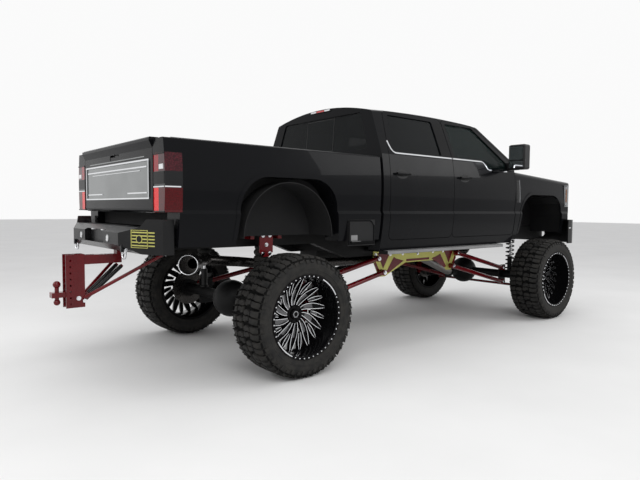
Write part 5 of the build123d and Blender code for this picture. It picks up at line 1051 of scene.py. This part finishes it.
def spring_units():
    """Marks: 0 rubber, 1 black coating, the coils too, and 2 chrome; 3 isn't used."""
    units = Build()

    def turned(station, y, section, sides, mark):
        units.ring(at(station, y, SPRING_LOW), (0, 0, 1), section, sides, mark)

    for hand in (1, -1):
        y = hand * SPRING_Y
        folds = [(0.300, 0.050), (0.302, 0.0595)]
        for k in range(3):
            base = 0.310 + 0.055 * k
            folds += [(base, 0.063), (base + 0.018, 0.068), (base + 0.034, 0.063), (base + 0.044, 0.052)]
        folds += [(0.478, 0.060), (0.480, 0.050), (0.480, 0.020), (0.300, 0.020)]
        foot = [(0.0, 0.0), (0.0, 0.044), (0.012, 0.044), (0.016, 0.032), (0.19, 0.032), (0.19, 0.0)]
        turned(-10, y, folds, 40, 0)
        turned(-10, y, [(0.4802, 0.0), (0.4802, 0.060), (0.4894, 0.060), (0.4894, 0.0)], 36, 1)
        turned(-10, y, foot, 32, 1)
        turned(-10, y, [(0.19, 0.0), (0.19, 0.014), (0.302, 0.014), (0.302, 0.0)], 24, 2)
        foot = [(0.0, 0.0), (0.0, 0.060), (0.010, 0.060), (0.014, 0.030), (0.20, 0.030), (0.20, 0.0)]
        turned(FRONT_AXLE, y, foot, 32, 1)
        turned(FRONT_AXLE, y, [(0.20, 0.0), (0.20, 0.012), (0.41, 0.012), (0.41, 0.0)], 24, 2)
        turned(FRONT_AXLE, y, [(0.4144, 0.0), (0.412, 0.058), (0.4242, 0.060), (0.4242, 0.0)], 32, 1)
        coil = []
        for k in range(COIL_STEPS + 1):
            t = 2 * math.pi * COIL_TURNS * k / COIL_STEPS
            z = SPRING_LOW + 20 + (COIL_HIGH - SPRING_LOW - 42) * k / COIL_STEPS
            coil.append((FRONT_AXLE + 50 * math.cos(t), y + 50 * math.sin(t), z))
        sweep(units, coil, 8, 8, 1)
    return units


spring_finishes = [RUBBER, BLACK_STEEL, CHROME, RED_COAT]
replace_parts(spring_units().place("spring_units", spring_finishes, "bright_steel", 40.0), "springs")

# Brake discs turn with the hubs; the calipers stay with the axle or the knuckle
DISC_Y, VANES = 922, 36
CALIPER = (
    (904, 130), (904, 204), (946, 204), (946, 148), (943.5, 148), (943.5, 187), (916.5, 187), (916.5, 130),
)
BOX_FACES = [(0, 1, 2, 3), (7, 6, 5, 4), (0, 4, 5, 1), (1, 5, 6, 2), (2, 6, 7, 3), (3, 7, 4, 0)]
for end, axle in AXLES:
    for hand_name, hand in HANDS:
        wheel, hub = f"{end}_{hand_name}", at(axle, 0, HUB_Z)
        disc = Build()
        for low, high in ((0.918, 0.926), (0.934, 0.942)):
            disc.ring(hub, (0, hand, 0), [(low, 0.100), (low, 0.182), (high, 0.182), (high, 0.100)], 64)
        for t in around(VANES):
            x, z = math.cos(t), math.sin(t)
            p, q = (
                at(axle, hand * DISC_Y, HUB_Z) + Vector((x * reach, 0, z * reach)) for reach in (0.105, 0.178)
            )
            side = Vector((-z, 0, x)) * 0.002
            corners = [p - side, p + side, q + side, q - side]
            disc.add(corners + [c + Vector((0, hand * 0.014, 0)) for c in corners], BOX_FACES)
        hat = [(0.928, 0.093), (0.928, 0.104), (0.9475, 0.104), (0.9475, 0.093)]
        disc.ring(hub, (0, hand, 0), hat, 48)
        disc.place(f"brake_disc_{wheel}", DARK_PIPE, "bright_steel", 40.0, body=f"wheel_{wheel}")
        caliper = Build()
        back = -1 if end == "front" else 1
        rows = []
        for k in range(9):
            t = math.radians(-32 + 8 * k)
            c, s = back * math.cos(t), math.sin(t)
            rows.append([at(axle + r * c, hand * a, HUB_Z + r * s) for a, r in CALIPER])
        skin_rows(caliper, rows)
        carrier = "chassis" if end == "rear" else f"knuckle_{hand_name}"
        for s in (-60, 60):
            foot = (axle + back * 95, hand * 905, HUB_Z + s * 0.8)
            bar(caliper, foot, (axle + back * 150, hand * 905, HUB_Z + s), 12, 12)
        caliper.place(f"caliper_{wheel}", RED_COAT, "red_paint", 35.0, body=carrier)

# Running boards and bed: gritted tread strip, rail caps, side steps and liner ribs
STEP_EDGES = (
    ((628, 1062, 1288), (640, 1062, 1288)),
    ((945, 1062, 1240), (957, 1062, 1240)),
    ((640, 1276, 1288), (900, 1276, 1288)),
    ((640, 1062, 1074), (945, 1062, 1074)),
    ((898, 1276, 1288), (925, 1264, 1276), (946, 1232, 1244)),
)
for hand_name, hand in HANDS:
    block(
        f"board_grip_{hand_name}", GREY_STEP, "grey_step",
        (1162, hand * 892, 983.5), (3138, hand * 986, 986.5),
    )
    block(
        f"board_edge_{hand_name}", GREY_STEP, "grey_step",
        (1152, hand * 996, 952), (3148, hand * 1001.5, 982),
    )
    cap = Build()
    rows = []
    for x, inset in ((-1056, 3), (-1050, 0), (1040, 0), (1046, 3)):
        section = (
            (797 + inset, 1889), (797 + inset, 1893 - inset), (801, 1896 - inset), (948, 1896 - inset),
            (954 - inset, 1892 - inset), (954 - inset, 1889),
        )
        rows.append([at(x, hand * y, z) for y, z in section])
    skin_rows(cap, rows)
    cap.place(f"rail_cap_{hand_name}", TRIM, "cabin_plastic", 30.0)
    step = Build()
    for edges in STEP_EDGES:
        skin_rows(step, [
            [at(x, hand * y, z) for y, z in ((1001, low), (1008, low), (1008, high), (1001, high))]
            for x, low, high in edges
        ])
    slab(step, (652, hand * 1002, 1078), (934, hand * 1022, 1092))
    step.place(f"step_frame_{hand_name}", GLOSS_BLACK, "body_paint", 35.0)
    pad = Build()
    slab(pad, (656, hand * 1003, 1092), (770, hand * 1020, 1095))
    slab(pad, (660, hand * 1001.5, 1100), (740, hand * 1005, 1150))
    pad.place(f"step_pad_{hand_name}", GREY_STEP, "grey_step")
    block(
        f"step_well_{hand_name}", LINING, "bed_lining",
        (641, hand * 1001.5, 1096), (944, hand * 1003.6, 1262),
    )
ribs = Build()
for i in range(15):
    y = -560 + i * 80
    slab(ribs, (-1050, y - 14, 1384.5), (1015, y + 14, 1389))
ribs.place("bed_ribs", LINING, "bed_lining")
block("gate_cap", TRIM, "cabin_plastic", (-1136, -770, 1904.5), (-1070, 770, 1908), body="tailgate")

# Liners close the front wheel arches towards the engine bay
LINER = (
    (3502, 1092), (3516, 1330), (3560, 1480), (3640, 1568), (3760, 1598),
    (4360, 1598), (4480, 1568), (4560, 1480), (4604, 1330), (4618, 1092),
)
for hand_name, hand in HANDS:
    liner = Build()
    inner = [(FRONT_AXLE + (x - FRONT_AXLE) * 0.993, z - 5 if z > 1100 else z) for x, z in LINER]
    rows_across(liner, lambda y: [*LINER, *reversed(inner)], hand, (514, 972))
    profile(liner, [*LINER[1:-1], (4604, 1180), (3516, 1180)], hand * 511, hand * 4)
    for k in range(6):
        rib = 3700 + 144 * k
        slab(liner, (rib - 12, hand * 514, 1584), (rib + 12, hand * 960, 1594))
    liner.place(f"arch_liner_{hand_name}", TRIM, "cabin_plastic")

# Bed: a skirt closes each wheel arch round the wheelhouse, and a cowl closes the hood's rear edge
HALF_ARCH = (
    (540, 1386), (535, 1420), (502, 1500), (454, 1570), (382, 1617), (300, 1648), (150, 1664), (0, 1668),
)
HOUSE_Z, HOUSE_REACH = 1150, 457
ARCH = [(-x, z) for x, z in HALF_ARCH] + list(reversed(HALF_ARCH[:-1]))
for hand_name, hand in HANDS:
    skirt = Build()
    rows = []
    for x, z in ARCH:
        near = HOUSE_REACH / math.hypot(x, z - HOUSE_Z)
        foot = (x * near, HOUSE_Z + (z - HOUSE_Z) * near)
        points = ((784, x, z), (790, x, z), (790, *foot), (784, *foot))
        rows.append([at(px, hand * y, pz) for y, px, pz in points])
    skin_rows(skirt, rows)
    skirt.place(f"bed_skirt_{hand_name}", LINING, "bed_lining", 35.0)
block("cowl_panel", TRIM, "cabin_plastic", (3690, -800, 1790), (3830, 800, 1798))

# Roof and rear window: the high stop lamp and the sliding pane's frame
lamp_housing = Build()
profile(lamp_housing, ((1112, 2432), (1124, 2432), (1128, 2458), (1118, 2458)), -168, 336)
lamp_housing.place("high_lamp_housing", TRIM, "cabin_plastic")
high_lens = Build()
for low, high, mark in ((-158, -70, 1), (-62, 62, 0), (70, 158, 1)):
    outline = ((1109.5, 2436), (1114, 2436), (1117, 2454), (1113, 2454))
    profile(high_lens, outline, low, high - low, mark)
high_lens.place("high_lamp_lens", [RED_LENS, WHITE_LENS], "red_lens")


def rear_glass_x(z):
    """The rear window's outer face at a height."""
    return 1097 + 40 * (z - BELT[1]) / (ROOF[1] - BELT[1])


frames = Build()
FRAME_BARS = (
    (-232, -220, 1988, 2355), (220, 232, 1988, 2355), (-232, 232, 1996, 2006), (-232, 232, 2338, 2348),
)
for y0, y1, z0, z1 in FRAME_BARS:
    outline = [(rear_glass_x(z) + dx, z) for z, dx in ((z0, -2.5), (z1, -2.5), (z1, 0.5), (z0, 0.5))]
    profile(frames, outline, y0, y1 - y0)
frames.place("rear_window_frame", TRIM, "cabin_plastic")

# Front end: fine upright slats, radiator, lamp insides, bumper lamps, wipers and tow hooks
mesh_slats = Build()
for i in range(-23, 24):
    y = i * 25
    x = nose_x(y) - 44
    slab(mesh_slats, (x, y - 2.5, 1292), (x + 18, y + 2.5, 1752))
for j in range(9):
    z = 1305 + j * 54
    for acrosses in ((-590, -250), (-250, 250), (250, 590)):
        nose_strip(mesh_slats, acrosses, -40, -32, z, z + 5)
mesh_slats.place("grille_mesh", GLOSS_BLACK, "black_steel")
radiator = Build()
slab(radiator, (4742, -415, 1200), (4772, 415, 1700))
for i in range(40):
    z = 1212 + i * 12.2
    slab(radiator, (4772, -400, z), (4776, 400, z + 3))
radiator.place("radiator", FRAME_BLACK, "black_steel")
rim = Build()
for low, high in ((1277, 1285), (1758, 1766)):
    for acrosses in ((-566, -250), (-250, 250), (250, 566)):
        nose_strip(rim, acrosses, -6, 2.5, low, high)
rim.place("grille_trim", CHROME, "bright_trim")
FOG_Y = 640
for hand_name, hand in HANDS:
    inside = Build()
    for y, z in ((700, 1640), (790, 1640), (700, 1540)):
        x = nose_x(y) - 12
        bar(inside, (x - 34, hand * y, z), (x - 10, hand * y, z), 26, 24, 0, 36)
        bar(inside, (x - 10, hand * y, z), (x - 6, hand * y, z), 27, 24, 2)
    for z in (1452, 1716):
        nose_strip(inside, (640, 760, 880, 950), -30, -18, z, z + 10, hand, 2)
    slab(inside, (4750, hand * 950, 1500), (4762, hand * 966, 1680), 3)
    inside.place(f"lamp_inside_{hand_name}", [SATIN, CHROME, WHITE_LENS, AMBER_LENS], "bright_trim", 40.0)
    fog = Build()
    for back, front, radius, mark in ((46, 52, 46, 1), (50, 70, 44, 1), (66, 73, 38, 0)):
        start, end = ((nose_x(FOG_Y) + d, hand * FOG_Y, 1120) for d in (back, front))
        bar(fog, start, end, radius, 32, mark)
    slab(fog, (4640, hand * 1066.5, 1146), (4690, hand * 1069.5, 1160), 0)
    fog.place(f"bumper_lamp_{hand_name}", [WHITE_LENS, TRIM], "clear_lens", 40.0)
    tow = Build()
    bow = [
        (4935 + 72 * math.sin(t), hand * 400, 1053 + 26 * math.cos(t))
        for t in (math.pi * k / 14 for k in range(15))
    ]
    sweep(tow, bow, 9, 12)
    tow.place(f"tow_hook_{hand_name}", RED_COAT, "red_paint", 50.0)
    wiper = Build()
    sweep(wiper, [screen_point(hand * (100 + 65 * k), 1935 + 4 * k, 8) for k in range(9)], 5, 8)
    arm = ((760, 1897, 6), (640, 1930, 17), (360, 1954, 16))
    sweep(wiper, [screen_point(hand * y, z, lift) for y, z, lift in arm], 6, 8)
    wiper.place(f"wiper_{hand_name}", TRIM, "cabin_plastic", 40.0)


# Door mirrors: split glass, bezels and light strips on the towing heads
BEZEL_BARS = (
    (1086, 1270, 2130, 2138), (1086, 1270, 1960, 1970), (1086, 1270, 1874, 1882), (1086, 1092, 1882, 2130),
    (1264, 1270, 1882, 2130),
)
for hand_name, hand in HANDS:
    panes = Build()
    for z0, z1 in ((1972, 2128), (1884, 1958)):
        outline = ((1094, z0), (1262, z0), (1262, z1), (1094, z1))
        panes.prism([at(3088.6, hand * y, z) for y, z in outline], (0.002, 0, 0))
    panes.place(f"mirror_glass_{hand_name}", MIRROR, "bright_trim", body=f"door_front_{hand_name}")
    shell = Build()
    for y0, y1, z0, z1 in BEZEL_BARS:
        slab(shell, (3086.5, hand * y0, z0), (3091, hand * y1, z1))
    shell.place(f"mirror_bezel_{hand_name}", TRIM, "cabin_plastic", body=f"door_front_{hand_name}")
    signal = Build()
    slab(signal, (3224.5, hand * 1110, 1900), (3226.5, hand * 1262, 1914))
    slab(signal, (3110, hand * 1280, 1955), (3200, hand * 1281.8, 1967))
    signal.place(f"mirror_signal_{hand_name}", WHITE_LENS, "clear_lens", body=f"door_front_{hand_name}")


# Seats: crowned cushions with a sewn seam, each a soft rounded form
def cushion(name, low, high, crown, grooves=(-0.45, 0.45), axis=2, node=None):
    """A stuffed block whose face along an axis swells by crown, with stitched grooves."""
    a, b = at(*low), at(*high)
    centre, half = (a + b) / 2, Vector((abs(b.x - a.x), abs(b.y - a.y), abs(b.z - a.z))) / 2
    steps, power, seam_width, seam_depth = 22, 7.0, 0.035, 0.007
    verts, faces, index = [], [], {}

    def vertex(key):
        if key not in index:
            p = Vector([2 * k / steps - 1 for k in key])
            q = p * sum(abs(c) ** power for c in p) ** (-1 / power)
            grow = (1 - q.x * q.x) * (1 - q.y * q.y) if axis == 2 else (1 - q.y * q.y) * (1 - q.z * q.z)
            seam = sum(math.exp(-((q.y - g) / seam_width) ** 2) for g in grooves)
            swell = crown / 1000 * grow - seam_depth * seam * min(1.0, 4 * grow)
            out = [q.x * half.x, q.y * half.y, q.z * half.z]
            out[axis] += math.copysign(1, q[axis]) * (abs(q[axis]) > 0.5) * swell
            index[key] = len(verts)
            verts.append(centre + Vector(out))
        return index[key]

    for fixed in range(3):
        u, v = [k for k in range(3) if k != fixed]
        for end in (0, steps):
            for i in range(steps):
                for j in range(steps):
                    quad = []
                    for di, dj in ((0, 0), (1, 0), (1, 1), (0, 1)):
                        key = [0, 0, 0]
                        key[fixed], key[u], key[v] = end, i + di, j + dj
                        quad.append(vertex(tuple(key)))
                    faces.append(quad)
    piece = place(name, verts, faces, SEAT, 60.0)
    if node:
        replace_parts(piece, node)


for hand_name, hand in HANDS:
    y = hand * 400
    node = "front_seats" if hand > 0 else None
    cushion(f"seat_base_{hand_name}", (2358, y - 255, 1312), (2895, y + 255, 1458), 10, node=node)
    cushion(f"seat_back_{hand_name}", (2262, y - 245, 1462), (2392, y + 245, 2066), 8, axis=0)
    cushion(f"head_rest_{hand_name}", (2276, y - 125, 2092), (2366, y + 125, 2254), 4, grooves=(), axis=0)
    stand = Build()
    slab(stand, (2410, y - 190, 1107.5), (2840, y + 190, 1311))
    for s in (-60, 60):
        bar(stand, (2321, y + s, 2055), (2321, y + s, 2105), 7, 10)
    stand.place(f"seat_stand_{hand_name}", PLASTIC, "cabin_plastic", 30.0)
BENCH_GROOVES = (-0.62, -0.28, 0.28, 0.62)
cushion("rear_bench", (1332, -752, 1308), (1826, 752, 1462), 8, BENCH_GROOVES, node="rear_seat")
cushion("rear_backrest", (1206, -752, 1466), (1328, 752, 2052), 6, BENCH_GROOVES, axis=0)
block("rear_seat_stand", PLASTIC, "cabin_plastic", (1240, -690, 1107.5), (1770, 690, 1306))

# Steering wheel and dashboard
tilt = math.radians(25)
wheel_way = Vector((-math.cos(tilt), 0, math.sin(tilt)))
wheel_up = Vector((math.sin(tilt), 0, math.cos(tilt)))
wheel_mid = at(2860, 400, 1730)
wheel = Build()
section = [(0.015 + 0.015 * math.sin(t), 0.175 + 0.015 * math.cos(t)) for t in around(12)]
wheel.ring(wheel_mid, wheel_way, section, 56)
hub_cap = [(0.0, 0.0), (0.0, 0.058), (0.020, 0.060), (0.028, 0.050), (0.030, 0.0)]
wheel.ring(wheel_mid, wheel_way, hub_cap, 32)
wheel.ring(wheel_mid, wheel_way, [(-0.060, 0.0), (-0.060, 0.025), (0.0, 0.025), (0.0, 0.0)], 24)
for way in (Vector((0, 1, 0)), Vector((0, -1, 0)), -wheel_up):
    other = way.cross(wheel_way)
    foot, end = wheel_mid + way * 0.045 + wheel_way * 0.006, wheel_mid + way * 0.172 + wheel_way * 0.010
    low = [foot - other * 0.024, foot + other * 0.024, end + other * 0.015, end - other * 0.015]
    high = [p + wheel_way * rise for p, rise in zip(low, (0.014, 0.014, 0.010, 0.010))]
    wheel.add(low + high, BOX_FACES)
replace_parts(wheel.place("steering_grip", SEAT, "cabin_plastic", 45.0, body="steering_wheel"), "steering_wheel")
panel = Build()
profile(panel, ((2974, 1716), (2990, 1712), (3040, 1838), (3020, 1842)), -150, 300, 1)
profile(panel, ((2976, 1718), (2992, 1714), (3034, 1822), (3016, 1826)), 255, 290, 1)
for y in (-640, -420, 215, 700):
    profile(panel, ((2994, 1752), (3006, 1750), (3026, 1800), (3014, 1802)), y - 55, 110)
slab(panel, (2978, -760, 1688), (2994, -200, 1695), 2)
panel.place("dash_panels", [PLASTIC, SCREEN_GLASS, SATIN], "cabin_plastic", 30.0)


# Finishes of the frame's own nodes, also of those that a piece replaces
NODES_BY_FINISH = (
    (PAINT, "cab_shell hood front_fenders bed_sides tailgate"),
    (GLOSS_BLACK, "grille"),
    (BLACK_STEEL, "front_bumper rear_bumper running_boards"),
    (FRAME_BLACK, "front_support frame_rails rear_axle front_axle knuckle_left knuckle_right drivetrain"),
    (RED_COAT, "spring_towers tie_rod suspension_links drop_hitch"),
    (GOLD, "gusset_plates"),
    (CLEAR, "head_lamps"),
    (TAIL_LENS, "tail_lamps"),
    (SCREEN_GLASS, "cab_glass"),
    (SATIN, "tailgate_panel"),
    (LINING, "bed_liner"),
    (STEEL, "driveshafts"),
    (DARK_PIPE, "exhaust"),
    (TRIM, "fuel_tank springs bed_steps mirror_left mirror_right"),
    (SEAT, "front_seats rear_seat"),
    (PLASTIC, "dashboard steering_wheel"),
)
FINISHES = {node: finish for finish, nodes in NODES_BY_FINISH for node in nodes.split()}
for end, glass in (("front", FRONT_GLASS), ("rear", GLASS)):
    for hand_name, hand in HANDS:
        for node, finish in (("door", PAINT), ("glass", glass), ("tyre", RUBBER), ("rim", GLOSS_BLACK)):
            FINISHES[f"{node}_{end}_{hand_name}"] = finish
for node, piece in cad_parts.items():
    piece.data.materials.clear()
    piece.data.materials.append(FINISHES[node])
    smooth_by_angle(piece, 28.0)

# Pale floor and soft studio light
floor_finish = Finish("studio_floor", (0.80, 0.80, 0.79), 0.85)
floor_tones = (0.3, (0.78, 0.78, 0.77)), (0.7, (0.82, 0.82, 0.81))
floor_tone = floor_finish.ramp(floor_finish.noise(0.8, 3.0), *floor_tones)
floor_finish.link(floor_tone, "Base Color")
floor_mesh = bpy.data.meshes.new("floor")
floor_mesh.from_pydata([(-60, -60, 0), (60, -60, 0), (60, 60, 0), (-60, 60, 0)], [], [(0, 1, 2, 3)])
floor_mesh.materials.append(floor_finish.material)
floor = bpy.data.objects.new("floor", floor_mesh)
bpy.context.scene.collection.objects.link(floor)

world = bpy.data.worlds.new("studio")
bpy.context.scene.world = world
world.use_nodes = True
tree = world.node_tree
background = tree.nodes["Background"]
paths = tree.nodes.new("ShaderNodeLightPath")
coords = tree.nodes.new("ShaderNodeTexCoord")
split = tree.nodes.new("ShaderNodeSeparateXYZ")
tree.links.new(coords.outputs["Generated"], split.inputs[0])
sky = tree.nodes.new("ShaderNodeValToRGB")
for element, (position, grey) in zip(sky.color_ramp.elements, ((0.45, 0.42), (0.75, 0.72))):
    element.position = position
    element.color = (grey, grey, grey * 1.02, 1.0)
half_up = tree.nodes.new("ShaderNodeMath")
half_up.operation = "MULTIPLY_ADD"
half_up.inputs[1].default_value = 0.5
half_up.inputs[2].default_value = 0.5
tree.links.new(split.outputs["Z"], half_up.inputs[0])
tree.links.new(half_up.outputs[0], sky.inputs["Fac"])
shown = paths.outputs["Is Camera Ray"]
for kind in ("Transmission", "Glossy"):
    either = tree.nodes.new("ShaderNodeMath")
    either.operation = "MAXIMUM"
    tree.links.new(shown, either.inputs[0])
    tree.links.new(paths.outputs[f"Is {kind} Ray"], either.inputs[1])
    shown = either.outputs[0]
pick = tree.nodes.new("ShaderNodeMix")
pick.data_type = "RGBA"
pick.inputs[7].default_value = (0.96, 0.96, 0.96, 1.0)
tree.links.new(shown, pick.inputs[0])
tree.links.new(sky.outputs["Color"], pick.inputs[6])
tree.links.new(pick.outputs[2], background.inputs["Color"])
background.inputs["Strength"].default_value = 1.0


def lamp(name, place_at, aim, width, height, power):
    data = bpy.data.lights.new(name, "AREA")
    data.shape = "RECTANGLE"
    data.size, data.size_y = width, height
    data.energy = power
    light = bpy.data.objects.new(name, data)
    bpy.context.scene.collection.objects.link(light)
    light.location = place_at
    light.rotation_euler = (Vector(aim) - Vector(place_at)).to_track_quat("-Z", "Y").to_euler()


lamp("key", (-5.0, -6.5, 6.0), (0, 0, 1.2), 5.0, 3.0, 210)
lamp("fill", (5.5, -6.0, 4.5), (0.5, 0, 1.2), 4.0, 3.0, 120)
lamp("rear", (-7.5, 2.0, 4.0), (-2, 0, 1.2), 3.0, 2.5, 90)
lamp("top", (0.0, 0.0, 8.0), (0, 0, 1), 7.0, 4.0, 130)

bpy.context.scene.view_settings.view_transform = "Standard"
